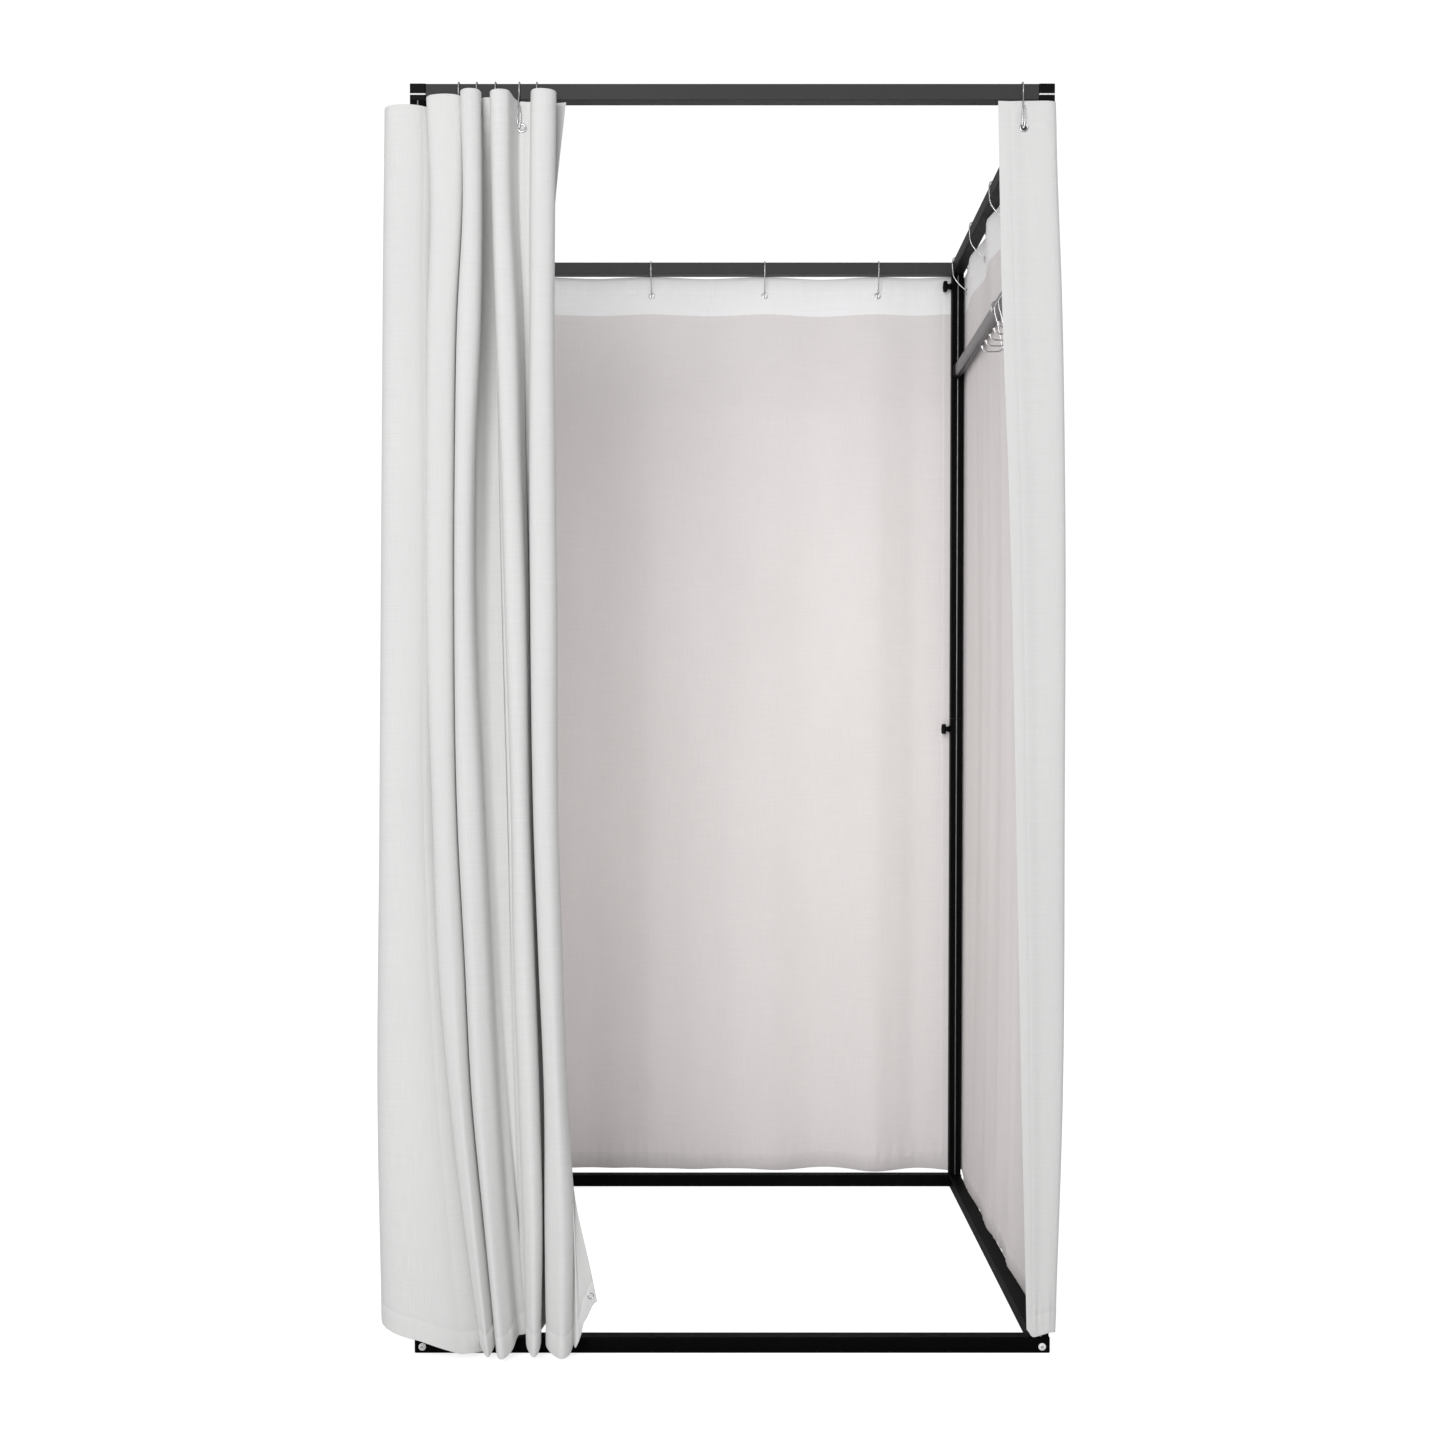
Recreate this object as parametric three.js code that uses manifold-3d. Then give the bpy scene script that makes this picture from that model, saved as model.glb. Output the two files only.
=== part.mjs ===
// A curtained changing booth: a knock-down frame of square steel tube with cloth on wire hooks on all
// four sides, a door curtain that draws along the front rail, and an oval clothes rod with a sliding
// wire hook rack. Millimetres, +Z up, the doorway faces -Y, the origin is on the floor in the middle.
import * as THREE from "three";
import { mergeVertices } from "three/addons/utils/BufferGeometryUtils.js";
import Module from "manifold-3d";

const wasm = await Module();
wasm.setup();

// ---- driving dimensions -------------------------------------------------------------------------
const WIDTH = 1000;
const DEPTH = 1000;
const HEIGHT = 1985;
const TUBE = 25;
const WALL = 1.2;
const TUBE_RADIUS = 2;
const GAP = 0.3;

const POST_JOINT_Z = 1012;
const COUPLER_LENGTH = 120;
const MID_KNOB_Z = 990;
const TOP_KNOB_Z = 1937;
const SPIGOT_HEIGHT = 50;
const STUB_LENGTH = 42;
const STUB_DROP = 62;
const GROOVE_Z = HEIGHT - 16;
const GROOVE_HEIGHT = 3;
const GROOVE_DEPTH = 1.5;

const NUT_RADIUS = 6.75;
const NUT_THICKNESS = 4;
const STUD_RADIUS = 2.9;
const STUD_HOLE_RADIUS = 3.2;
const KNOB_RADIUS = 12;
const KNOB_LOBES = 6;
const KNOB_LOBE_DEPTH = 1.6;
const KNOB_HEAD = 8.5;
const KNOB_NECK = 5;
const KNOB_NECK_RADIUS = 5.5;

const BOLT_INSET = 10.5;
const BOLT_HEAD_RADIUS = 5.8;
const BOLT_SHANK_RADIUS = 2.5;
const BOLT_LENGTH = 45;
const BOLT_Z = 10.5;
const RAIL_PLATE = 3;

const ROD_WIDTH = 15;
const ROD_HEIGHT = 30;
const ROD_WALL = 1;
const ROD_Z = 1755;
const SOCKET_WALL = 2;
const SOCKET_DEPTH = 14;
const SOCKET_BASE = 2;

const RACK_BAR_X = 475.5;
const RACK_BAR_Z = 1734;
const RACK_BACK_Y = -29;
const RACK_HOOKS = 5;
const RACK_PITCH = 44.4;
const RACK_FIRST_HOOK = 40;
const RACK_WIRE = 1.8;
const RACK_BALL = 3;
const RACK_LOOP_CLEARANCE = 1.2;
const PRONG_X = 474;
const PRONG_HALF_WIDTH = 19;
const PRONG_BOTTOM_Z = 1666;
const PRONG_RISE = 13;

const CLOTH = 1.6;
const CLOTH_TOP = 1957;
const CLOTH_BOTTOM = 28;
const DOOR_BOTTOM = 12;
const CLOTH_OFFSET = 16;
const EYELET_Z = 1916;
const EYELET_HOLE = 5.5;
const HOOK_WIRE = 1.15;
const HOOK_PITCH = 243;
const HOOK_SIDES = 6;
const HOOK_STEPS = 26;
const DOOR_HOOKS = [-424, -396, -367, -330, -303];
const REAR_HOOKS = [-411, -168, 75, 318];
const SIDE_HOOKS = [451, 208, -35, -278];
const FRONT_RETURN_HOOK = 450;
const SIDE_SWELL = 30;
const DOOR_LEAD_WIDTH = 38;
const FOLD_SPACING = 8;
const FOLD_FLAT = 6.5;
const FOLD_DEPTH = 46;
const FOLD_SHOULDER = 38;

const CORE = TUBE - 2 * WALL - 2 * GAP;
const RAIL_X = WIDTH / 2 - TUBE / 2;
const RAIL_Y = DEPTH / 2 - TUBE / 2;
const RAIL_UNDERSIDE = HEIGHT - TUBE;
const SPAN_X = WIDTH - 2 * TUBE - 2 * GAP;
const SPAN_Y = DEPTH - 2 * TUBE - 2 * GAP;
const CLOTH_X = RAIL_X + CLOTH_OFFSET;
const CLOTH_Y = RAIL_Y + CLOTH_OFFSET;

// ---- materials ----------------------------------------------------------------------------------
function finish(color, roughness, metalness) {
  return new THREE.MeshStandardMaterial({ color, roughness, metalness });
}

const powderCoat = finish(0x1b1b1c, 0.45, 0.4);
const railCoat = finish(0x474748, 0.42, 0.5);
const blackPlastic = finish(0x0c0c0c, 0.55, 0);
const greyTube = finish(0x5a5a5c, 0.35, 0.7);
const brightWire = finish(0xc9cacc, 0.2, 1);
const boltSteel = finish(0xe4e4e4, 0.35, 0.6);
const cloth = finish(0xdcdcda, 0.95, 0);

const booth = new THREE.Group();

function addMesh(name, geometry, material) {
  const mesh = new THREE.Mesh(geometry, material);
  mesh.name = name;
  booth.add(mesh);
  return mesh;
}

// ---- solids -------------------------------------------------------------------------------------
function toSolid(geometry) {
  const bare = geometry.clone();
  bare.deleteAttribute("normal");
  bare.deleteAttribute("uv");
  const merged = mergeVertices(bare, 1e-4);
  const mesh = new wasm.Mesh({
    numProp: 3,
    vertProperties: new Float32Array(merged.attributes.position.array),
    triVerts: new Uint32Array(merged.index.array),
  });
  return new wasm.Manifold(mesh);
}

function toGeometry(solid) {
  const mesh = solid.getMesh();
  const geometry = new THREE.BufferGeometry();
  geometry.setAttribute("position", new THREE.BufferAttribute(mesh.vertProperties, 3));
  geometry.setIndex(new THREE.BufferAttribute(mesh.triVerts, 1));
  return geometry;
}

function block(x, y, z, cx, cy, cz) {
  return toSolid(new THREE.BoxGeometry(x, y, z).translate(cx, cy, cz));
}

// A closed polygon in plan, raised from one height to another.
function prism(points, low, high) {
  const shape = new THREE.Shape(points.map(([x, y]) => new THREE.Vector2(x, y)));
  const geometry = new THREE.ExtrudeGeometry(shape, { depth: high - low, bevelEnabled: false });
  return geometry.translate(0, 0, low);
}

// The outline of a square with rounded corners, or of a stadium when the radius is half the width.
function roundedOutline(path, width, height, radius, steps) {
  const points = [];
  const corners = [[1, 1, 0], [-1, 1, 1], [-1, -1, 2], [1, -1, 3]];
  for (const [sx, sy, quarter] of corners) {
    for (let i = 0; i <= steps; i += 1) {
      const angle = (quarter + i / steps) * Math.PI / 2;
      const x = sx * (width / 2 - radius) + radius * Math.cos(angle);
      const y = sy * (height / 2 - radius) + radius * Math.sin(angle);
      points.push(new THREE.Vector2(x, y));
    }
  }
  path.setFromPoints(points);
  return path;
}

// An open-ended hollow tube along Z, from z = 0 up.
function hollowTube(width, height, wall, radius, length, steps) {
  const shape = roundedOutline(new THREE.Shape(), width, height, radius, steps);
  const bore = roundedOutline(
    new THREE.Path(), width - 2 * wall, height - 2 * wall, radius - wall, steps);
  shape.holes.push(bore);
  return new THREE.ExtrudeGeometry(shape, { depth: length, bevelEnabled: false });
}

function squareTube(length) {
  return hollowTube(TUBE, TUBE, WALL, TUBE_RADIUS, length, 3);
}

// A cylinder whose axis runs along X, Y or Z.
function rod(radius, length, axis, centre, sides = 16) {
  const geometry = new THREE.CylinderGeometry(radius, radius, length, sides);
  if (axis === "x") geometry.rotateZ(Math.PI / 2);
  if (axis === "z") geometry.rotateX(Math.PI / 2);
  return toSolid(geometry.translate(...centre));
}

// Round wire of the given radius along a smooth curve through the points.
function wire(points, radius, sides, steps) {
  const section = new THREE.Shape();
  section.setFromPoints(Array.from({ length: sides }, (_, i) => {
    const angle = (i / sides) * 2 * Math.PI;
    return new THREE.Vector2(radius * Math.cos(angle), radius * Math.sin(angle));
  }));
  const curve = new THREE.CatmullRomCurve3(points.map((p) => new THREE.Vector3(...p)));
  return new THREE.ExtrudeGeometry(section, { steps, extrudePath: curve });
}

// Cloth of even thickness that hangs straight down from a line drawn in plan.
function hangingCloth(line, bottom) {
  const sides = [[], []];
  for (let i = 0; i < line.length; i += 1) {
    const [x, y] = line[i];
    const [ax, ay] = line[Math.max(i - 1, 0)];
    const [bx, by] = line[Math.min(i + 1, line.length - 1)];
    const before = Math.hypot(x - ax, y - ay) || 1;
    const after = Math.hypot(bx - x, by - y) || 1;
    let tx = (x - ax) / before + (bx - x) / after;
    let ty = (y - ay) / before + (by - y) / after;
    const size = Math.hypot(tx, ty);
    tx /= size;
    ty /= size;
    sides[0].push([x - ty * CLOTH / 2, y + tx * CLOTH / 2]);
    sides[1].push([x + ty * CLOTH / 2, y - tx * CLOTH / 2]);
  }
  return prism([...sides[1], ...sides[0].reverse()], bottom, CLOTH_TOP);
}

// ---- frame: four posts in two halves, eight rails, corner fittings ----------------------------------
const CORNERS = [
  ["front_left", -1, -1], ["front_right", 1, -1], ["rear_left", -1, 1], ["rear_right", 1, 1],
];

// A post half with its welded nut on the face that looks along the front of the booth to its middle.
function postHalf(side, x, y, low, high, nutZ) {
  const inner = x - side * TUBE / 2;
  const tube = toSolid(squareTube(high - low).translate(x, y, low));
  const nutCentre = inner - side * (NUT_THICKNESS / 2 - 0.25);
  const nut = rod(NUT_RADIUS, NUT_THICKNESS + 0.5, "x", [nutCentre, y, nutZ]);
  const hole = rod(STUD_HOLE_RADIUS, 4 * NUT_THICKNESS, "x", [inner, y, nutZ], 12);
  return toGeometry(tube.add(nut).subtract(hole));
}

function starKnob(side, x, y, z) {
  const outline = [];
  const steps = KNOB_LOBES * 6;
  for (let i = 0; i < steps; i += 1) {
    const angle = (i / steps) * 2 * Math.PI;
    const radius = KNOB_RADIUS + KNOB_LOBE_DEPTH * (Math.cos(KNOB_LOBES * angle) - 1);
    outline.push([radius * Math.cos(angle), radius * Math.sin(angle)]);
  }
  const face = TUBE / 2 + NUT_THICKNESS + GAP;
  const head = toSolid(prism(outline, face + KNOB_NECK, face + KNOB_NECK + KNOB_HEAD));
  const studTip = TUBE / 2 - WALL + 0.1;
  const profile = [
    [0, studTip], [STUD_RADIUS, studTip], [STUD_RADIUS, face], [KNOB_NECK_RADIUS, face],
    [KNOB_NECK_RADIUS + 1, face + KNOB_NECK + 1], [0, face + KNOB_NECK + 1],
  ];
  const neck = toSolid(new THREE.LatheGeometry(
    profile.map(([r, h]) => new THREE.Vector2(r, h)), 12).rotateX(Math.PI / 2));
  const knob = toGeometry(head.add(neck));
  knob.rotateY(-side * Math.PI / 2);
  return knob.translate(x, y, z);
}

function cornerFitting(sx, sy) {
  const x = sx * RAIL_X;
  const y = sy * RAIL_Y;
  const z = HEIGHT - TUBE / 2;
  const body = toSolid(new THREE.ExtrudeGeometry(
    roundedOutline(new THREE.Shape(), TUBE, TUBE, TUBE_RADIUS, 3),
    { depth: TUBE, bevelEnabled: false }).translate(x, y, HEIGHT - TUBE));
  const reach = TUBE / 2 + STUB_LENGTH / 2 - 1;
  const alongX = block(STUB_LENGTH + 2, CORE, CORE, x - sx * reach, y, z);
  const alongY = block(CORE, STUB_LENGTH + 2, CORE, x, y - sy * reach, z);
  const down = block(CORE, CORE, STUB_DROP + 2, x, y, HEIGHT - TUBE - STUB_DROP / 2 + 1);
  const across = 2 * TUBE;
  const grooveX = block(GROOVE_DEPTH * 2, across, GROOVE_HEIGHT, sx * WIDTH / 2, y, GROOVE_Z);
  const grooveY = block(across, GROOVE_DEPTH * 2, GROOVE_HEIGHT, x, sy * DEPTH / 2, GROOVE_Z);
  const solid = body.subtract(grooveX).subtract(grooveY).add(alongX).add(alongY).add(down);
  return toGeometry(solid);
}

// A front or rear bottom rail runs the full width and carries a spigot for each post at its ends.
function crossBottomRail(sy) {
  const y = sy * RAIL_Y;
  let rail = toSolid(squareTube(WIDTH).rotateY(Math.PI / 2).translate(-WIDTH / 2, y, TUBE / 2));
  for (const sx of [-1, 1]) {
    const x = sx * RAIL_X;
    rail = rail.add(block(CORE, CORE, SPIGOT_HEIGHT + 0.5, x, y, TUBE + SPIGOT_HEIGHT / 2 - 0.25));
    const boltX = sx * (WIDTH / 2 - BOLT_INSET);
    rail = rail.subtract(rod(BOLT_SHANK_RADIUS + GAP, 2 * TUBE, "y", [boltX, y, BOLT_Z], 12));
  }
  return toGeometry(rail);
}

// A side bottom rail runs between the other two and has a drilled plate welded across each end.
function sideBottomRail(sx) {
  const x = sx * RAIL_X;
  const tube = squareTube(SPAN_Y).rotateX(-Math.PI / 2).translate(x, -SPAN_Y / 2, TUBE / 2);
  let rail = toSolid(tube);
  for (const sy of [-1, 1]) {
    const plateY = sy * (SPAN_Y / 2 - RAIL_PLATE / 2);
    const inside = TUBE - WALL;
    rail = rail.add(block(inside, RAIL_PLATE, inside, x, plateY, TUBE / 2));
  }
  const boltX = sx * (WIDTH / 2 - BOLT_INSET);
  const holes = rod(BOLT_SHANK_RADIUS + GAP, SPAN_Y + TUBE, "y", [boltX, 0, BOLT_Z], 12);
  return toGeometry(rail.subtract(holes));
}

function bottomBolt(sx, sy) {
  const profile = [
    [0, -BOLT_LENGTH], [BOLT_SHANK_RADIUS, -BOLT_LENGTH], [BOLT_SHANK_RADIUS, GAP],
    [BOLT_HEAD_RADIUS, GAP], [BOLT_HEAD_RADIUS, 1.2], [4.6, 2.6], [2.4, 3.3], [0, 3.5],
  ];
  const bolt = new THREE.LatheGeometry(profile.map(([r, h]) => new THREE.Vector2(r, h)), 16);
  if (sy < 0) bolt.rotateX(Math.PI);
  return bolt.translate(sx * (WIDTH / 2 - BOLT_INSET), sy * DEPTH / 2, BOLT_Z);
}

for (const [name, sx, sy] of CORNERS) {
  const x = sx * RAIL_X;
  const y = sy * RAIL_Y;
  const lowTop = POST_JOINT_Z - GAP / 2;
  const highLow = POST_JOINT_Z + GAP / 2;
  const highTop = RAIL_UNDERSIDE - GAP;
  addMesh(`post_lower_${name}`, postHalf(sx, x, y, TUBE + GAP, lowTop, MID_KNOB_Z), powderCoat);
  addMesh(`post_upper_${name}`, postHalf(sx, x, y, highLow, highTop, TOP_KNOB_Z), powderCoat);
  addMesh(`post_coupler_${name}`,
    new THREE.BoxGeometry(CORE, CORE, COUPLER_LENGTH).translate(x, y, POST_JOINT_Z), greyTube);
  addMesh(`corner_fitting_${name}`, cornerFitting(sx, sy), blackPlastic);
  addMesh(`mid_knob_${name}`, starKnob(sx, x, y, MID_KNOB_Z), blackPlastic);
  addMesh(`top_knob_${name}`, starKnob(sx, x, y, TOP_KNOB_Z), blackPlastic);
  addMesh(`bottom_bolt_${name}`, bottomBolt(sx, sy), boltSteel);
}

const topZ = HEIGHT - TUBE / 2;
for (const [name, sy] of [["front", -1], ["rear", 1]]) {
  const top = squareTube(SPAN_X).rotateY(Math.PI / 2);
  addMesh(`top_rail_${name}`, top.translate(-SPAN_X / 2, sy * RAIL_Y, topZ), railCoat);
  addMesh(`bottom_rail_${name}`, crossBottomRail(sy), powderCoat);
}
for (const [name, sx] of [["left", -1], ["right", 1]]) {
  const top = squareTube(SPAN_Y).rotateX(-Math.PI / 2);
  addMesh(`top_rail_${name}`, top.translate(sx * RAIL_X, -SPAN_Y / 2, topZ), railCoat);
  addMesh(`bottom_rail_${name}`, sideBottomRail(sx), powderCoat);
}

// ---- clothes rod, its two sockets and the hook rack ---------------------------------------------------
const rodLength = DEPTH - 2 * TUBE - 2 * (SOCKET_BASE + 2 * GAP);
const clothesRod = hollowTube(ROD_WIDTH, ROD_HEIGHT, ROD_WALL, ROD_WIDTH / 2, rodLength, 6);
clothesRod.rotateX(-Math.PI / 2).translate(RAIL_X, -rodLength / 2, ROD_Z);
addMesh("clothes_rod", clothesRod, greyTube);

function rodSocket(sy) {
  const width = ROD_WIDTH + 2 * GAP + 2 * SOCKET_WALL;
  const height = ROD_HEIGHT + 2 * GAP + 2 * SOCKET_WALL;
  const cup = toSolid(new THREE.ExtrudeGeometry(
    roundedOutline(new THREE.Shape(), width, height, width / 2, 6),
    { depth: SOCKET_DEPTH, bevelEnabled: false }));
  const bore = toSolid(new THREE.ExtrudeGeometry(
    roundedOutline(new THREE.Shape(), ROD_WIDTH + 2 * GAP, ROD_HEIGHT + 2 * GAP,
      ROD_WIDTH / 2 + GAP, 6),
    { depth: SOCKET_DEPTH, bevelEnabled: false }).translate(0, 0, SOCKET_BASE));
  const socket = toGeometry(cup.subtract(bore));
  socket.rotateX(sy * Math.PI / 2);
  return socket.translate(RAIL_X, sy * (DEPTH / 2 - TUBE - GAP), ROD_Z);
}

addMesh("rod_socket_front", rodSocket(-1), blackPlastic);
addMesh("rod_socket_rear", rodSocket(1), blackPlastic);

// One welded piece of wire: a bar along the rod, a loop over the rod at each end, and double hooks
// below, each an up-curled wire with a ball on both tips.
function hookRack() {
  const length = (RACK_HOOKS - 1) * RACK_PITCH + 2 * RACK_FIRST_HOOK;
  const barY = RACK_BACK_Y - length / 2;
  let rack = rod(RACK_WIRE, length, "y", [RACK_BAR_X, barY, RACK_BAR_Z], 6);
  const rodTop = ROD_Z + ROD_HEIGHT / 2;
  const near = RAIL_X - ROD_WIDTH / 2 - RACK_WIRE - RACK_LOOP_CLEARANCE;
  const far = 2 * RAIL_X - near;
  for (const y of [RACK_BACK_Y - RACK_WIRE, RACK_BACK_Y - length + RACK_WIRE]) {
    const loop = [
      [RACK_BAR_X, y, RACK_BAR_Z], [near, y, ROD_Z - 8], [near, y, ROD_Z + 8],
      [near + 2.5, y, rodTop - 1], [RAIL_X, y, rodTop + RACK_WIRE + 0.6],
      [far - 2.5, y, rodTop - 1], [far, y, ROD_Z + 6], [far, y, ROD_Z - 4],
    ];
    rack = rack.add(toSolid(wire(loop, RACK_WIRE, 6, 16)));
  }
  for (let i = 0; i < RACK_HOOKS; i += 1) {
    const y = RACK_BACK_Y - RACK_FIRST_HOOK - i * RACK_PITCH;
    const stem = [
      [RACK_BAR_X, y, RACK_BAR_Z], [RACK_BAR_X + 2, y, (RACK_BAR_Z + PRONG_BOTTOM_Z) / 2],
      [PRONG_X + 1, y, PRONG_BOTTOM_Z],
    ];
    const prong = [
      [-1, PRONG_RISE], [-0.9, 4], [-0.53, 0.5], [0, 0], [0.53, 0.5], [0.9, 4], [1, PRONG_RISE],
    ].map(([across, rise]) => [PRONG_X + across * PRONG_HALF_WIDTH, y, PRONG_BOTTOM_Z + rise]);
    rack = rack.add(toSolid(wire(stem, RACK_WIRE, 6, 3)));
    rack = rack.add(toSolid(wire(prong, RACK_WIRE, 6, 10)));
    for (const side of [-1, 1]) {
      const ball = new THREE.SphereGeometry(RACK_BALL, 6, 4);
      ball.translate(PRONG_X + side * PRONG_HALF_WIDTH, y, PRONG_BOTTOM_Z + PRONG_RISE + 1);
      rack = rack.add(toSolid(ball));
    }
  }
  return toGeometry(rack);
}

addMesh("hook_rack", hookRack(), brightWire);

// ---- curtains -----------------------------------------------------------------------------------------
// The plan line of a side: it touches the hook line at each hook and bows out between them.
function bowedLine(from, to, hooks, swell) {
  const stops = [from, ...hooks, to];
  const line = [];
  for (let i = 0; i + 1 < stops.length; i += 1) {
    const span = stops[i + 1] - stops[i];
    const rise = swell * Math.min(1, Math.abs(span) / HOOK_PITCH) ** 2;
    const steps = Math.abs(span) > HOOK_PITCH / 2 ? 8 : 2;
    for (let k = 0; k < steps; k += 1) {
      const t = k / steps;
      line.push([stops[i] + span * t, rise * (1 - Math.cos(2 * Math.PI * t)) / 2]);
    }
  }
  line.push([to, 0]);
  return line;
}

// A hole for a hook's wire, right through the cloth along X or Y.
function eyeletHole(x, y, axis) {
  return rod(EYELET_HOLE, 12, axis, [x, y, EYELET_Z], 8);
}

function curtain(line, bottom, eyelets) {
  let panel = toSolid(hangingCloth(line, bottom));
  for (const [x, y, axis] of eyelets) {
    panel = panel.subtract(eyeletHole(x, y, axis));
  }
  return toGeometry(panel);
}

const rearLine = bowedLine(-500, 478, REAR_HOOKS, SIDE_SWELL).map(([s, w]) => [s, CLOTH_Y + w]);
addMesh("rear_curtain",
  curtain(rearLine, CLOTH_BOTTOM, REAR_HOOKS.map((x) => [x, CLOTH_Y, "y"])), cloth);

const rightReturn = [[508, -486], [511, -497], [506, -504], [496, -CLOTH_Y], [412, -CLOTH_Y]];
const rightLine = bowedLine(496, -474, SIDE_HOOKS, SIDE_SWELL).map(([s, w]) => [CLOTH_X + w, s]);
addMesh("right_curtain",
  curtain([...rightLine, ...rightReturn], CLOTH_BOTTOM, [
    ...SIDE_HOOKS.map((y) => [CLOTH_X, y, "x"]), [FRONT_RETURN_HOOK, -CLOTH_Y, "y"],
  ]), cloth);

const leftReturn = [
  [-520, -478], [-540, -490], [-546, -503], [-541, -516], [-526, -524], [-505, -526], [-484, -522],
  [-471, -513],
];
const leftLine = bowedLine(496, -440, SIDE_HOOKS, SIDE_SWELL).map(([s, w]) => [-CLOTH_X - w, s]);
addMesh("left_curtain",
  curtain([...leftLine, ...leftReturn], CLOTH_BOTTOM, SIDE_HOOKS.map((y) => [-CLOTH_X, y, "x"])),
  cloth);

// Each length of the door curtain hangs from one hook: a flat at the eyelet, then a deep forward fold.
// The first one also has the broad fold that leads in from the left side's cloth.
function doorFold(index) {
  const x = DOOR_HOOKS[index];
  const next = DOOR_HOOKS[index + 1];
  const width = next === undefined ? DOOR_LEAD_WIDTH : next - x - FOLD_SPACING;
  const back = -CLOTH_Y;
  const near = x + FOLD_FLAT + 2.5;
  const far = x + width - 1;
  const line = [
    [x - FOLD_FLAT, back], [x + FOLD_FLAT, back], [near - 0.5, back - 3],
    [near, back - FOLD_SHOULDER], [near + 2, back - FOLD_DEPTH], [far - 2, back - FOLD_DEPTH],
    [far - 0.2, back - FOLD_SHOULDER], [far, back - 8],
  ];
  const leadIn = [
    [x - 41, back - 9], [x - 39, back - 30], [x - 28, back - 41], [x - 16, back - 39],
    [x - 10, back - 20], [x - FOLD_FLAT - 2, back - 3],
  ];
  return index === 0 ? [...leadIn, ...line] : line;
}

DOOR_HOOKS.forEach((x, index) => {
  const panel = curtain(doorFold(index), DOOR_BOTTOM, [[x, -CLOTH_Y, "y"]]);
  addMesh(`door_fold_${index + 1}`, panel, cloth);
});

// ---- curtain hooks --------------------------------------------------------------------------------------
// Each hook is one length of wire round the rail. It is drawn in the plane across the rail: "out" is
// the distance outwards from the rail's middle. Both ends meet in the eyelet.
const HOOK_SHAPE = [
  [12.6, EYELET_Z + 3.6], [6, EYELET_Z + 9], [-5, EYELET_Z + 20], [-12.5, RAIL_UNDERSIDE - 12],
  [-15, RAIL_UNDERSIDE + 3], [-15.4, HEIGHT - 4], [-13, HEIGHT + 1.6], [0, HEIGHT + 2.6],
  [13, HEIGHT + 1.6], [15.4, HEIGHT - 4], [16, RAIL_UNDERSIDE + 6], [19.4, RAIL_UNDERSIDE - 2],
  [21, EYELET_Z + 18], [19.6, EYELET_Z + 3], [16.5, EYELET_Z - 1.6], [13, EYELET_Z],
];

function curtainHook(place) {
  return wire(HOOK_SHAPE.map(([out, z]) => place(out, z)), HOOK_WIRE, HOOK_SIDES, HOOK_STEPS);
}

DOOR_HOOKS.forEach((x, index) => {
  const hook = curtainHook((out, z) => [x, -RAIL_Y - out, z]);
  addMesh(`door_hook_${index + 1}`, hook, brightWire);
});
REAR_HOOKS.slice(1).forEach((x, index) => {
  const hook = curtainHook((out, z) => [x, RAIL_Y + out, z]);
  addMesh(`rear_hook_${index + 1}`, hook, brightWire);
});
SIDE_HOOKS.slice(0, 3).forEach((y, index) => {
  const hook = curtainHook((out, z) => [RAIL_X + out, y, z]);
  addMesh(`right_hook_${index + 1}`, hook, brightWire);
});
addMesh("return_hook",
  curtainHook((out, z) => [FRONT_RETURN_HOOK, -RAIL_Y - out, z]), brightWire);

export default booth;
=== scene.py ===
"""The looks of a curtained changing booth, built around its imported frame.

The frame gives every size and place. This script adds the four curtains, their eyelets, the fine wire
hooks, the knobs, the bolts, the clothes rod with its rack, and a finish for every part that is shown.
Everything is in metres, +Z up, and the doorway faces -Y.
"""

import logging
import math
from collections.abc import Callable, Sequence
from dataclasses import dataclass, field
from enum import Enum

import bpy
import numpy as np
from mathutils import Euler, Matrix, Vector


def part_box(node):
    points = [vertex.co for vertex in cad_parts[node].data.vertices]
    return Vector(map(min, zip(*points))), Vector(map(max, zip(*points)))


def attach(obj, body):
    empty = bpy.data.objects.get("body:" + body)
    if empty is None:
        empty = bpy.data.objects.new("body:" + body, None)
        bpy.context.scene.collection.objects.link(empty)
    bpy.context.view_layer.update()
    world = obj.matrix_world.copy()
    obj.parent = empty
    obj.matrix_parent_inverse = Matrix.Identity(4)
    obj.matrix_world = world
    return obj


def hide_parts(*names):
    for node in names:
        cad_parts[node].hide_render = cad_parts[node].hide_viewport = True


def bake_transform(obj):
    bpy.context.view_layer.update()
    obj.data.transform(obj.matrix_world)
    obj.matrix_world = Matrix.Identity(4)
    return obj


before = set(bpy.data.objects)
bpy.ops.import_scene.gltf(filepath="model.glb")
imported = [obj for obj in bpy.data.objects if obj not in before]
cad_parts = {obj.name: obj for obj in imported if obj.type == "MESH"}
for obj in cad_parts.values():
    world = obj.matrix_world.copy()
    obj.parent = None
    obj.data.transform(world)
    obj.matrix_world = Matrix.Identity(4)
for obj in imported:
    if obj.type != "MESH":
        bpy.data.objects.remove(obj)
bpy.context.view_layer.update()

LOG = logging.getLogger("changing_booth")
Array = np.ndarray
Socket = bpy.types.NodeSocket
ROOT = "root"
CLOTH_UV = "cloth_metres"
MM = 0.001


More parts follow.
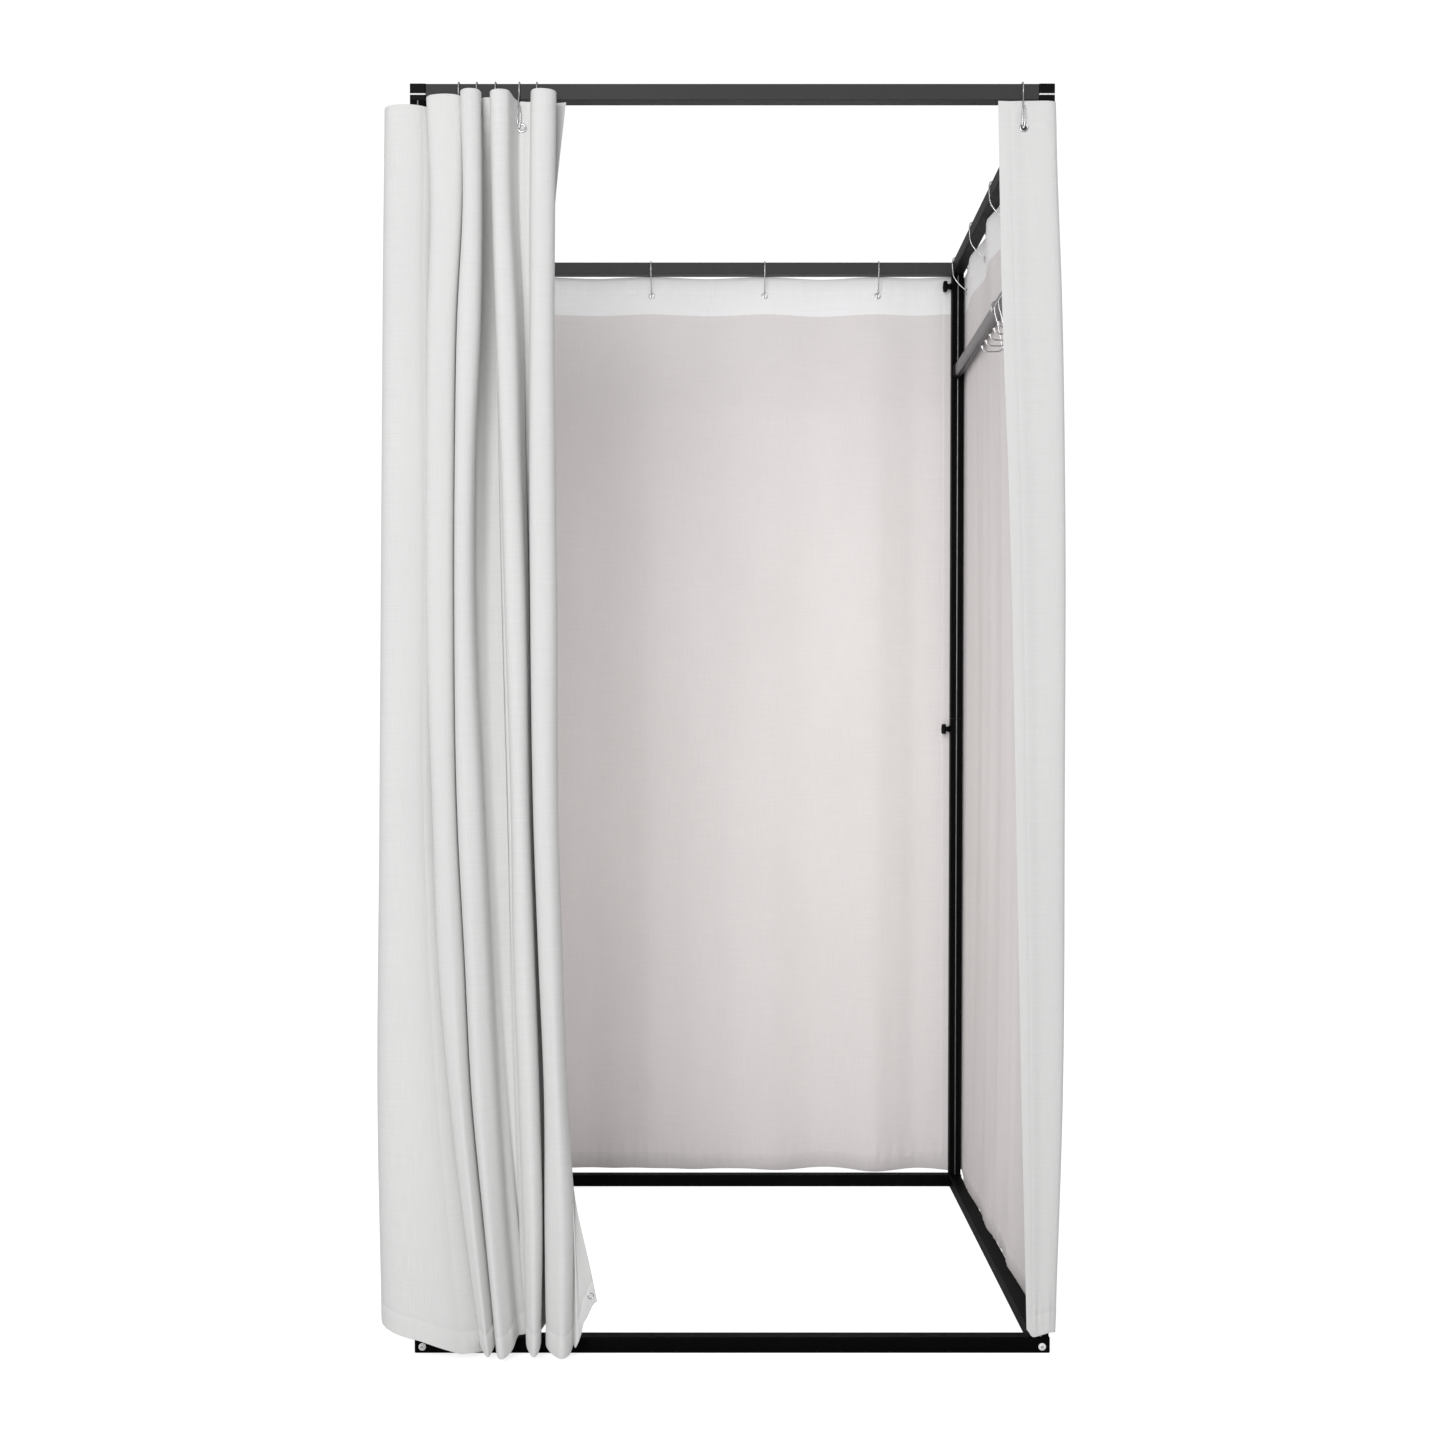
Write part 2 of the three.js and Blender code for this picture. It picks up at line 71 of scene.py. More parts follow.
# ---- shapes worked out with numpy ---------------------------------------------------------------------
def smooth_through(keys: Array, values: Array, at: Array) -> Array:
    """A smooth curve through values at keys, read along the first axis.

    Each stretch is the cubic that leaves and reaches its two values with the slopes of the chords on
    either side, weighted by how short each chord is.

    Args:
        keys: K rising places.
        values: K rows of anything.
        at: The places to read.

    Returns:
        One row for each place.
    """
    step = np.diff(keys)
    wide = (slice(None),) + (None,) * (values.ndim - 1)
    chord = np.diff(values, axis=0) / step[wide]
    slope = np.empty_like(values, dtype=float)
    slope[0] = chord[0]
    slope[-1] = chord[-1]
    share = (step[1:] / (step[:-1] + step[1:]))[wide]
    slope[1:-1] = share * chord[:-1] + (1 - share) * chord[1:]
    i = np.clip(np.searchsorted(keys, at, side="right") - 1, 0, len(keys) - 2)
    t = ((at - keys[i]) / step[i])[wide]
    h = step[i][wide]
    start = (1 + 2 * t) * (1 - t) ** 2 * values[i] + t * (1 - t) ** 2 * h * slope[i]
    end = t * t * (3 - 2 * t) * values[i + 1] - t * t * (1 - t) * h * slope[i + 1]
    return start + end


def ease(t: Array) -> Array:
    """Zero up to 0, one from 1, and a smooth step 3t^2 - 2t^3 between."""
    t = np.clip(t, 0, 1)
    return t * t * (3 - 2 * t)


def unit(vectors: Array) -> Array:
    """The vectors along the last axis, each made one long."""
    return vectors / np.maximum(np.linalg.norm(vectors, axis=-1, keepdims=True), 1e-12)


def curve_through(points: Sequence[Sequence[float]], count: int) -> Array:
    """A smooth line through the points, with knots a square root of each chord apart.

    Args:
        points: The places that it passes.
        count: How many points to return.

    Returns:
        The line's points, count rows of three.
    """
    stops = np.array(points, float)
    knots = np.concatenate([[0], np.cumsum(np.linalg.norm(np.diff(stops, axis=0), axis=1) ** 0.5)])
    return smooth_through(knots, stops, np.linspace(0, knots[-1], count))


def grid_quads(rows: int, columns: int, wrap: bool = False) -> Array:
    """The four-sided faces of a grid of points stored row by row.

    Args:
        rows: Points down the grid.
        columns: Points across it.
        wrap: Whether the last column joins the first.

    Returns:
        The faces, four indices each.
    """
    across = columns if wrap else columns - 1
    i, j = np.meshgrid(np.arange(rows - 1), np.arange(across), indexing="ij")
    k = (j + 1) % columns
    quads = np.stack([i * columns + j, (i + 1) * columns + j, (i + 1) * columns + k, i * columns + k], -1)
    return quads.reshape(-1, 4)


@dataclass
class Solid:
    """Points and faces that are gathered until they become one piece."""

    points: list[Array] = field(default_factory=list)
    faces: list[list[int]] = field(default_factory=list)

    def add(self, points: Array, faces: Sequence[Sequence[int]] | Array) -> None:
        """Adds one closed shape.

        Args:
            points: Its points, in any grid.
            faces: The points of each face, counted from its own first point.
        """
        start = sum(len(p) for p in self.points)
        rows = faces.tolist() if isinstance(faces, np.ndarray) else faces
        self.points.append(points.reshape(-1, 3))
        self.faces += [[start + k for k in face] for face in rows]

    def add_rings(self, rings: Array) -> None:
        """Adds a skin over a stack of rings, closed by a flat face at both ends.

        Args:
            rings: Rings by points by three. The points turn anticlockwise about the stack's direction.
        """
        count, around = rings.shape[:2]
        quads = grid_quads(count, around, wrap=True)[:, ::-1].tolist()
        first = list(range(around))[::-1]
        last = [(count - 1) * around + k for k in range(around)]
        self.add(rings, quads + [first, last])

    def add_faced(self, rings: Array, normal: Sequence[float], centre: Sequence[float]) -> None:
        """Adds a skin over a stack of rings that is turned to face normal and moved to centre."""
        self.add_rings(faced(rings.reshape(-1, 3), normal, centre).reshape(rings.shape))

    def add_hoop(self, rings: Array) -> None:
        """Adds a closed hoop.

        Args:
            rings: A grid of rings, of which the last joins the first.
        """
        count, around = rings.shape[:2]
        looped = np.concatenate([rings, rings[:1]])
        quads = grid_quads(count + 1, around, wrap=True)[:, ::-1] % (count * around)
        self.add(looped[:-1], quads)


def turned(profile: Sequence[tuple[float, float]], sides: int, lobes: int = 0, depth: float = 0) -> Array:
    """Rings of a shape turned about the Z axis.

    The radius of a ring is r + depth * (r / R)^2 * (cos(lobes * angle) - 1), with R the widest radius.

    Args:
        profile: Radius and height of each ring, upwards.
        sides: Points round a ring.
        lobes: How many lobes the outline has.
        depth: How deep the hollows between lobes are.

    Returns:
        The rings, for Solid.add_rings.
    """
    outline = np.array(profile, float)
    angle = np.linspace(0, 2 * np.pi, sides, endpoint=False)
    radius = outline[:, :1] + depth * (outline[:, :1] / outline[:, 0].max()) ** 2 * (
        np.cos(lobes * angle) - 1)
    height = np.broadcast_to(outline[:, 1:], radius.shape)
    return np.stack([radius * np.cos(angle), radius * np.sin(angle), height], -1)


def faced(points: Array, normal: Sequence[float], centre: Sequence[float]) -> Array:
    """Points turned so that +Z looks along normal, and moved to centre.

    Args:
        points: Points, or rings of points.
        normal: Where +Z goes.
        centre: Where the origin goes.

    Returns:
        The points, in the shape in which they came.
    """
    z = unit(np.array(normal, float))
    x = unit(np.cross([0, 0, 1.0], z) if abs(z[2]) < 0.9 else np.cross([0, 1.0, 0], z))
    return points @ np.stack([x, np.cross(z, x), z]) + np.array(centre, float)


def swept(line: Array, radius: float, sides: int, across: Sequence[float], cap: int = 3) -> Array:
    """Rings of round wire along a line, with rounded ends.

    A ring's axes are the direction across, freed of its part along the line, and their cross product.
    Each end goes on for one radius in rings that narrow like a ball.

    Args:
        line: Points along the middle of the wire.
        radius: The wire's radius.
        sides: Points round the wire.
        across: A direction that the line never follows.
        cap: Rings in each rounded end.

    Returns:
        The rings, for Solid.add_rings.
    """
    along = unit(np.gradient(line, axis=0))
    turn = np.linspace(0, np.pi / 2, cap + 1)[:-1]
    out = (np.sin(np.pi / 2 - turn[::-1]) * radius)[:, None]
    head = line[0] - (np.sin(np.pi / 2 - turn) * radius)[:, None] * along[0]
    tail = line[-1] + out * along[-1]
    middle = np.concatenate([head, line, tail])
    size = np.concatenate([np.cos(np.pi / 2 - turn), np.ones(len(line)), np.sin(turn)[::-1]])
    size = np.maximum(size, 0.06) * radius
    along = unit(np.gradient(middle, axis=0))
    side = np.array(across, float) - (along @ np.array(across, float))[:, None] * along
    side = unit(side)
    third = np.cross(along, side)
    angle = np.linspace(0, 2 * np.pi, sides, endpoint=False)
    spoke = np.cos(angle)[None, :, None] * side[:, None] + np.sin(angle)[None, :, None] * third[:, None]
    return middle[:, None] + size[:, None, None] * spoke


def rounded_box_outline(width: float, height: float, radius: float, steps: int = 5) -> Array:
    """The outline of a rectangle with a quarter circle at each corner.

    Args:
        width: Its whole width.
        height: Its whole height.
        radius: The corners' radius.
        steps: Steps round each corner.

    Returns:
        Points of two, anticlockwise.
    """
    angle = np.linspace(0, np.pi / 2, steps + 1)
    sign = np.array([[1, 1], [-1, 1], [-1, -1], [1, -1]], float)
    middle = sign * [width / 2 - radius, height / 2 - radius]
    turn = np.arange(4)[:, None] * np.pi / 2 + angle
    arc = np.stack([np.cos(turn), np.sin(turn)], -1) * radius
    return (middle[:, None] + arc).reshape(-1, 2)


def slab(width: float, height: float, thickness: float, radius: float, bevel: float) -> Array:
    """Rings of a plate with round corners and rolled edges, lying on z = 0.

    Each edge is a quarter circle: an inset of bevel * (1 - sin) at a rise of bevel * (1 - cos).

    Args:
        width: Its whole width.
        height: Its whole height.
        thickness: How thick it is.
        radius: The corners' radius.
        bevel: The rolled edges' radius.

    Returns:
        The rings, for Solid.add_rings.
    """
    turn = np.linspace(0, np.pi / 2, 4)
    inset = np.concatenate([bevel * (1 - np.sin(turn)), bevel * (1 - np.cos(turn))])
    rise = np.concatenate([bevel * (1 - np.cos(turn)), thickness - bevel * (1 - np.sin(turn))])
    rings = [
        np.column_stack([
            rounded_box_outline(width - 2 * cut, height - 2 * cut, max(radius - cut, 0.2 * MM)),
            np.full(24, level),
        ])
        for cut, level in zip(inset, rise)
    ]
    return np.array(rings)


# ---- finishes -----------------------------------------------------------------------------------------
class Nodes:
    """A material's node tree, with short ways to add and join nodes."""

    def __init__(self, name: str) -> None:
        """Makes the material with one Principled shader.

        Args:
            name: The material's name.
        """
        self.material = bpy.data.materials.new(name)
        self.material.use_nodes = True
        self.tree = self.material.node_tree
        self.shader = self.tree.nodes["Principled BSDF"]

    def add(self, kind: str, **settings: object) -> bpy.types.Node:
        """Adds a node.

        Args:
            kind: The node's type.
            settings: Attributes to set on it.

        Returns:
            The node.
        """
        node = self.tree.nodes.new(kind)
        for key, value in settings.items():
            setattr(node, key, value)
        return node

    def join(self, source: Socket, target: Socket) -> None:
        """Joins an output to an input."""
        self.tree.links.new(source, target)

    def feed(self, value: Socket | float | Sequence[float], target: Socket) -> None:
        """Joins a socket to the target, or sets the target's own constant.

        Args:
            value: A socket, a number or a colour of three.
            target: The input that it goes to.
        """
        if isinstance(value, Socket):
            self.join(value, target)
        elif isinstance(value, (int, float)):
            target.default_value = value
        else:
            target.default_value = (*value, 1)

    def noise(self, source: Socket, scale: Sequence[float], detail: float) -> Socket:
        """Cloudy values from 0 to 1.

        Args:
            source: The coordinates that it follows.
            scale: How fine it is along each axis.
            detail: How many finer layers it has.

        Returns:
            The noise.
        """
        mapping = self.add("ShaderNodeMapping")
        mapping.inputs["Scale"].default_value = scale
        self.join(source, mapping.inputs["Vector"])
        node = self.add("ShaderNodeTexNoise")
        node.inputs["Scale"].default_value = 1
        node.inputs["Detail"].default_value = detail
        self.join(mapping.outputs["Vector"], node.inputs["Vector"])
        return node.outputs["Fac"]

    def ranged(self, source: Socket, low: float, high: float, to_low: float,
               to_high: float) -> Socket:
        """A value carried from one range to another, and held at its ends.

        Args:
            source: The value.
            low: Where the first range starts.
            high: Where the first range ends.
            to_low: What low becomes.
            to_high: What high becomes.

        Returns:
            The value in the second range.
        """
        node = self.add("ShaderNodeMapRange")
        for label, value in (("From Min", low), ("From Max", high), ("To Min", to_low), ("To Max", to_high)):
            node.inputs[label].default_value = value
        self.join(source, node.inputs["Value"])
        return node.outputs["Result"]

    def math(self, operation: str, first: Socket, second: Socket | float = 0) -> Socket:
        """One arithmetic step on two values.

        Args:
            operation: The Math node's operation.
            first: Its first value.
            second: Its second value, which a sine doesn't use.

        Returns:
            The result.
        """
        node = self.add("ShaderNodeMath", operation=operation)
        self.join(first, node.inputs[0])
        self.feed(second, node.inputs[1])
        return node.outputs["Value"]

    def blend(self, factor: Socket | float, first: Sequence[float] | Socket,
              second: Sequence[float] | Socket, how: str = "MIX") -> Socket:
        """Two colours mixed by factor.

        Args:
            factor: 0 for the first colour and 1 for the second.
            first: A colour or a socket.
            second: A colour or a socket.
            how: The Mix node's blend type.

        Returns:
            The mixed colour.
        """
        node = self.add("ShaderNodeMix", data_type="RGBA", blend_type=how)
        self.feed(factor, node.inputs["Factor"])
        self.feed(first, node.inputs[6])
        self.feed(second, node.inputs[7])
        return node.outputs[2]

    def bump(self, height: Socket, distance: float, strength: float = 1) -> None:
        """Raises the surface.

        Args:
            height: How high it is at each place, from 0 to 1.
            distance: What a height of 1 is in metres.
            strength: How much of it shows.
        """
        node = self.add("ShaderNodeBump")
        node.inputs["Strength"].default_value = strength
        node.inputs["Distance"].default_value = distance
        self.join(height, node.inputs["Height"])
        self.join(node.outputs["Normal"], self.shader.inputs["Normal"])

    def place(self) -> Socket:
        """The point in the booth's own frame, in metres."""
        return self.add("ShaderNodeTexCoord").outputs["Object"]


@dataclass(frozen=True)
class CoatFinish:
    """A sprayed or moulded finish: fine orange peel, faint clouding and rubbed patches."""

    name: str
    slot: str
    color: tuple[float, float, float]
    rubbed: tuple[float, float, float]
    roughness: float
    grain: float = 1500
    relief: float = 0.00004
    specular: float = 0.5
    cloud_scale: tuple[float, float, float] = (9, 9, 5)
    cloud_share: float = 0.35
    scuff_scale: tuple[float, float, float] = (60, 60, 14)
    scuff_share: float = 0.55

    def build(self) -> bpy.types.Material:
        """Makes the material.

        Returns:
            The material, its colour and roughness clouded by noise on the object's own place.
        """
        nodes = Nodes(self.name)
        nodes.shader.inputs["Specular IOR Level"].default_value = self.specular
        place = nodes.place()
        cloud = nodes.noise(place, self.cloud_scale, 3)
        scuffs = nodes.ranged(nodes.noise(place, self.scuff_scale, 6), 0.60, 0.78, 0, self.scuff_share)
        base = nodes.blend(nodes.ranged(cloud, 0.3, 0.7, 0, self.cloud_share), self.color, self.rubbed)
        nodes.join(nodes.blend(scuffs, base, self.rubbed), nodes.shader.inputs["Base Color"])
        grain = nodes.noise(place, (self.grain,) * 3, 2)
        rough = nodes.ranged(grain, 0.3, 0.7, self.roughness - 0.05, self.roughness + 0.07)
        nodes.join(rough, nodes.shader.inputs["Roughness"])
        nodes.bump(grain, self.relief)
        return nodes.material


class Grain(Enum):
    """Which way a metal's drawing lines run."""

    ALONG_Y = (900, 6, 900)
    ROUND = (700, 700, 700)


@dataclass(frozen=True)
class MetalFinish:
    """Bare or plated metal: fine drawing lines, and slightly duller patches."""

    name: str
    slot: str
    color: tuple[float, float, float]
    dull: tuple[float, float, float]
    roughness: float
    grain: Grain = Grain.ROUND
    metallic: float = 1
    cloud_scale: tuple[float, float, float] = (40, 25, 40)
    cloud_share: float = 0.7
    relief: float = 0.00002

    def build(self) -> bpy.types.Material:
        """Makes the material.

        Returns:
            The material, with lines in its roughness and relief.
        """
        nodes = Nodes(self.name)
        place = nodes.place()
        lines = nodes.noise(place, self.grain.value, 3)
        cloud = nodes.ranged(nodes.noise(place, self.cloud_scale, 3), 0.35, 0.75, 0, self.cloud_share)
        nodes.join(nodes.blend(cloud, self.color, self.dull), nodes.shader.inputs["Base Color"])
        rough = nodes.ranged(lines, 0.25, 0.75, self.roughness - 0.05, self.roughness + 0.10)
        nodes.join(rough, nodes.shader.inputs["Roughness"])
        nodes.shader.inputs["Metallic"].default_value = self.metallic
        nodes.bump(lines, self.relief)
        return nodes.material


class ClothSide(Enum):
    """The two faces of the curtain cloth."""

    OUTER = "outer"
    INNER = "inner"


@dataclass(frozen=True)
class ClothFinish:
    """One face of a plain woven cloth: threads both ways, slubs, and stitches along its hems.

    Patterns follow the cloth's own metres, across and down from its top edge.
    """

    side: ClothSide
    length: float
    color: tuple[float, float, float]
    shade: tuple[float, float, float]
    header: tuple[float, float, float]
    header_depth: float
    slot: str = "curtain_cloth"
    hem_band: float = 0.034
    thread: float = 1.1 * MM
    slub: float = 0.045
    warp_scale: tuple[float, float, float] = (1500, 18, 1)
    weft_scale: tuple[float, float, float] = (14, 1300, 1)
    cloud_scale: tuple[float, float, float] = (5, 2.2, 1)
    edge_blur: float = 0.4 * MM
    band_blur: float = 1 * MM
    # How dark the painted shade along the inner hem is, as a share of the shade colour.
    painted_hem_shade: float = 0.84
    weave_share: float = 0.25
    relief: float = 0.22 * MM
    relief_strength: float = 0.8
    roughness: float = 0.92
    specular: float = 0.15
    sheen: float = 0.12
    sheen_roughness: float = 0.5

    def lined(self, nodes: Nodes, base: Socket, down: Socket, clouds: Socket) -> Socket:
        """The inner face's colour, with its white header and a patchy painted shade along its hem band.

        Args:
            nodes: The material's nodes.
            base: The colour so far.
            down: Metres down the cloth.
            clouds: Cloudy values from 0 to 1.

        Returns:
            The colour.
        """
        edge, hem = self.header_depth, self.length - self.hem_band
        facing = nodes.ranged(down, edge - self.edge_blur, edge + self.edge_blur, 1, 0)
        base = nodes.blend(facing, base, self.header)
        # Painted shade: below the hem stitch the inner face turns darker in cloudy patches, standing in for
        # the shadow along the hem.
        band = nodes.ranged(down, hem - self.band_blur, hem, 0, 1)
        return nodes.blend(nodes.math("MULTIPLY", band, clouds), base,
                           tuple(self.painted_hem_shade * part for part in self.shade))

    def build(self) -> bpy.types.Material:
        """Makes the material.

        The relief is the plain weave, sine across times sine down, added to the slubs.

        Returns:
            The material, woven over the cloth's own metres.
        """
        nodes = Nodes(f"curtain_cloth_{self.side.value}_{round(self.length * 1000)}")
        weave = nodes.add("ShaderNodeUVMap", uv_map=CLOTH_UV).outputs["UV"]
        axes = nodes.add("ShaderNodeSeparateXYZ")
        nodes.join(weave, axes.inputs[0])
        across, down = axes.outputs[0], axes.outputs[1]

        warp = nodes.noise(weave, self.warp_scale, 3)
        weft = nodes.noise(weave, self.weft_scale, 3)
        slubs = nodes.math("ADD", warp, weft)
        clouds = nodes.noise(weave, self.cloud_scale, 2)
        base = nodes.blend(nodes.ranged(clouds, 0.3, 0.7, 0, 1), self.color, self.shade)
        if self.side is ClothSide.INNER:
            base = self.lined(nodes, base, down, clouds)
        thread = nodes.ranged(slubs, 0.7, 1.3, 1 - self.slub, 1 + self.slub)
        grey = nodes.add("ShaderNodeCombineColor")
        for channel in grey.inputs:
            nodes.join(thread, channel)
        shader = nodes.shader.inputs
        nodes.join(nodes.blend(1, base, grey.outputs[0], "MULTIPLY"), shader["Base Color"])

        turn = 2 * math.pi / self.thread
        over, under = (nodes.math("SINE", nodes.math("MULTIPLY", way, turn)) for way in (across, down))
        plain = nodes.math("MULTIPLY", over, under)
        relief = nodes.math("ADD", nodes.math("MULTIPLY", plain, self.weave_share), slubs)
        nodes.bump(relief, self.relief, self.relief_strength)
        shader["Roughness"].default_value = self.roughness
        shader["Specular IOR Level"].default_value = self.specular
        shader["Sheen Weight"].default_value = self.sheen
        shader["Sheen Roughness"].default_value = self.sheen_roughness
        return nodes.material


POWDER_BLACK = CoatFinish(
    "satin_black_coat", "powder_black", (0.0024, 0.0024, 0.0025), (0.005, 0.005, 0.0052), 0.44,
    specular=0.022)
RAIL_GREY = CoatFinish(
    "satin_charcoal_coat", "rail_grey", (0.050, 0.050, 0.051), (0.060, 0.060, 0.061), 0.42, specular=0.09)
# A darker copy of the charcoal rail coat for the side top rails: painted shade, standing in for the shadow
# on their inner faces.
SIDE_RAIL_PAINTED_SHADE = CoatFinish(
    "side_rail_painted_shade_coat", "rail_grey", (0.010, 0.010, 0.0102), (0.016, 0.016, 0.0162), 0.42,
    specular=0.06)
BLACK_PLASTIC = CoatFinish(
    "black_nylon", "black_plastic", (0.0025, 0.0025, 0.0025), (0.005, 0.005, 0.005), 0.52,
    grain=900, relief=0.00006, specular=0.09)
WHITE_NYLON = CoatFinish(
    "white_nylon", "bolt_steel", (0.88, 0.88, 0.88), (0.84, 0.84, 0.83), 0.42, grain=800)
ROD_STEEL = MetalFinish(
    "drawn_grey_steel", "rod_steel", (0.19, 0.19, 0.195), (0.13, 0.13, 0.134), 0.33, Grain.ALONG_Y)
BRIGHT_WIRE = MetalFinish(
    "bright_plated_wire", "bright_wire", (0.62, 0.62, 0.63), (0.42, 0.42, 0.43), 0.24)
BOLT_STEEL = MetalFinish(
    "zinc_plated_steel", "bolt_steel", (0.97, 0.97, 0.97), (0.92, 0.92, 0.91), 0.34, metallic=0.05)
SOCKET_STEEL = MetalFinish(
    "grey_socket_steel", "bolt_steel", (0.50, 0.50, 0.50), (0.38, 0.38, 0.38), 0.45, metallic=0.4)
FINISHES = (
    POWDER_BLACK, RAIL_GREY, SIDE_RAIL_PAINTED_SHADE, BLACK_PLASTIC, WHITE_NYLON, ROD_STEEL, BRIGHT_WIRE,
    BOLT_STEEL, SOCKET_STEEL)
MATERIALS = {finish.name: finish.build() for finish in FINISHES}


def make_object(name: str, points: Array, faces: list[list[int]]) -> bpy.types.Object:
    """A mesh object at the origin, linked to the scene.

    Args:
        name: Its name, which its mesh shares.
        points: Its points.
        faces: The points of each face.

    Returns:
        The object.
    """
    mesh = bpy.data.meshes.new(name)
    mesh.from_pydata(points.tolist(), [], faces)
    mesh.update()
    piece = bpy.data.objects.new(name, mesh)
    bpy.context.scene.collection.objects.link(piece)
    return piece


def make_piece(name: str, solid: Solid, finish: CoatFinish | MetalFinish, body: str = ROOT,
               stands_for: Sequence[str] = (), crease: float = 38) -> bpy.types.Object:
    """Makes one piece of a gathered solid, dresses it and lets it ride on a body.

    Args:
        name: The piece's name.
        solid: Its points and faces.
        finish: Its finish.
        body: The body that it moves with.
        stands_for: CAD nodes that it replaces.
        crease: The angle in degrees above which an edge stays sharp.

    Returns:
        The piece.
    """
    piece = make_object(name, np.concatenate(solid.points), solid.faces)
    piece.data.materials.append(MATERIALS[finish.name])
    piece.data.shade_smooth()
    piece.data.set_sharp_from_angle(angle=math.radians(crease))
    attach(piece, body)
    if stands_for:
        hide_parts(*stands_for)
    LOG.info("%s: %d points, on %s", name, len(piece.data.vertices), body)
    return piece


# ---- the frame ----------------------------------------------------------------------------------------
CORNERS = {
    "front_left": (-1, -1), "front_right": (1, -1), "rear_left": (-1, 1), "rear_right": (1, 1),
}


@dataclass(frozen=True)
class Places:
    """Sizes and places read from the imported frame."""

    half_width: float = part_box("bottom_rail_front")[1].x
    half_depth: float = -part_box("bottom_rail_front")[0].y
    tube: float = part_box("bottom_rail_right")[1].z
    rail_top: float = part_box("top_rail_front")[1].z
    rail_under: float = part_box("top_rail_front")[0].z
    cloth_top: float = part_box("rear_curtain")[1].z
    cloth_bottom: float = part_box("rear_curtain")[0].z
    door_bottom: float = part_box("door_fold_1")[0].z
    cloth_line: float = 0.0035
    eyelet_drop: float = 0.041

    @property
    def cloth_y(self) -> float:
        """How far the hook line of the front and rear cloth is from the middle."""
        return self.half_depth + self.cloth_line

    @property
    def cloth_x(self) -> float:
        """How far the hook line of the side cloth is from the middle."""
        return self.half_width + self.cloth_line

    @property
    def rail_middle(self) -> float:
        """How far a rail's middle is from the booth's middle."""
        return self.half_depth - self.tube / 2


PLACES = Places()


@dataclass
class FrameDress:
    """Finishes for the frame's own nodes, and the small parts that belong to its corners."""

    seam_width: float = 2.2 * MM
    seam_height: float = 0.35 * MM
    cap_thickness: float = 2.2 * MM
    cap_gap: float = 0.6 * MM
    cap_sunk: float = 0.4 * MM
    cap_corner: float = 2 * MM
    cap_bevel: float = 0.7 * MM
    shim_drop: float = 16 * MM
    shim_corner: float = 1.6 * MM
    shim_bevel: float = 0.3 * MM
    shim_height: float = 2.4 * MM
    shim_inset: float = 0.25 * MM
    seam_sides: int = 12

    def dress_nodes(self) -> None:
        """Gives every carried-over node its finish. Where two names fit, the later one holds."""
        # The side top rails take the darker copy of the rail coat, which paints their shade.
        by_name = {
            "top_rail": RAIL_GREY, "top_rail_left": SIDE_RAIL_PAINTED_SHADE, "top_rail_right": SIDE_RAIL_PAINTED_SHADE,
            "bottom_rail": POWDER_BLACK, "post_lower": POWDER_BLACK, "post_upper": POWDER_BLACK,
            "post_coupler": ROD_STEEL, "corner_fitting": BLACK_PLASTIC, "rod_socket": BLACK_PLASTIC,
        }
        for name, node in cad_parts.items():
            for start, finish in by_name.items():
                if name.startswith(start):
                    node.data.materials.clear()
                    node.data.materials.append(MATERIALS[finish.name])

    def build_end_caps(self) -> None:
        """Black plugs in the open ends of the front and rear bottom rails."""
        tube = PLACES.tube
        wide = tube - self.cap_gap
        for side in ("front", "rear"):
            caps = Solid()
            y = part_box(f"bottom_rail_{side}")[0].y + tube / 2
            for sx in (-1, 1):
                face = slab(wide, wide, self.cap_thickness, self.cap_corner, self.cap_bevel)
                start = sx * (PLACES.half_width - self.cap_sunk)
                caps.add_faced(face, (sx, 0, 0), (start, y, tube / 2))
            make_piece(f"bottom_rail_{side}_end_caps", caps, BLACK_PLASTIC)

    def build_shims(self) -> None:
        """The pale washer that shows as a line in the groove of each corner fitting."""
        height = PLACES.rail_top - self.shim_drop - self.shim_height / 2
        middle = PLACES.half_width - PLACES.tube / 2
        for name, (sx, sy) in CORNERS.items():
            shim = Solid()
            reach = PLACES.tube - 2 * self.shim_inset
            plate = slab(reach, reach, self.shim_height, self.shim_corner, self.shim_bevel)
            shim.add_rings(plate + [sx * middle, sy * middle, height])
            make_piece(f"corner_washer_{name}", shim, WHITE_NYLON)

    def build_seam_highlights(self) -> None:
        """The weld seam down the front face of every post half, as a low round bead in light grey rod steel;
        its lightness against the black coat is partly a painted highlight line.
        """
        for name, (sx, sy) in CORNERS.items():
            for half in ("lower", "upper"):
                low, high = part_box(f"post_{half}_{name}")
                x = sx * (PLACES.half_width - PLACES.tube / 2)
                front = sy * PLACES.rail_middle - PLACES.tube / 2
                angle = np.linspace(0, 2 * np.pi, self.seam_sides, endpoint=False)
                ring = np.stack([self.seam_width / 2 * np.cos(angle), self.seam_height * np.sin(angle)], -1)
                ends = np.linspace(low.z + 1 * MM, high.z - 1 * MM, 3)
                rings = np.array([
                    np.column_stack([ring + [x, front], np.full(self.seam_sides, z)]) for z in ends])
                seam = Solid()
                seam.add_rings(rings)
                # The bead takes the lighter rod steel instead of the black coat: a real seam whose colour
                # also paints the highlight line down each post.
                make_piece(f"post_seam_highlight_{half}_{name}", seam, ROD_STEEL)

    def build(self) -> None:
        """Dresses the nodes and adds the small parts."""
        self.dress_nodes()
        self.build_end_caps()
        self.build_shims()
        self.build_seam_highlights()


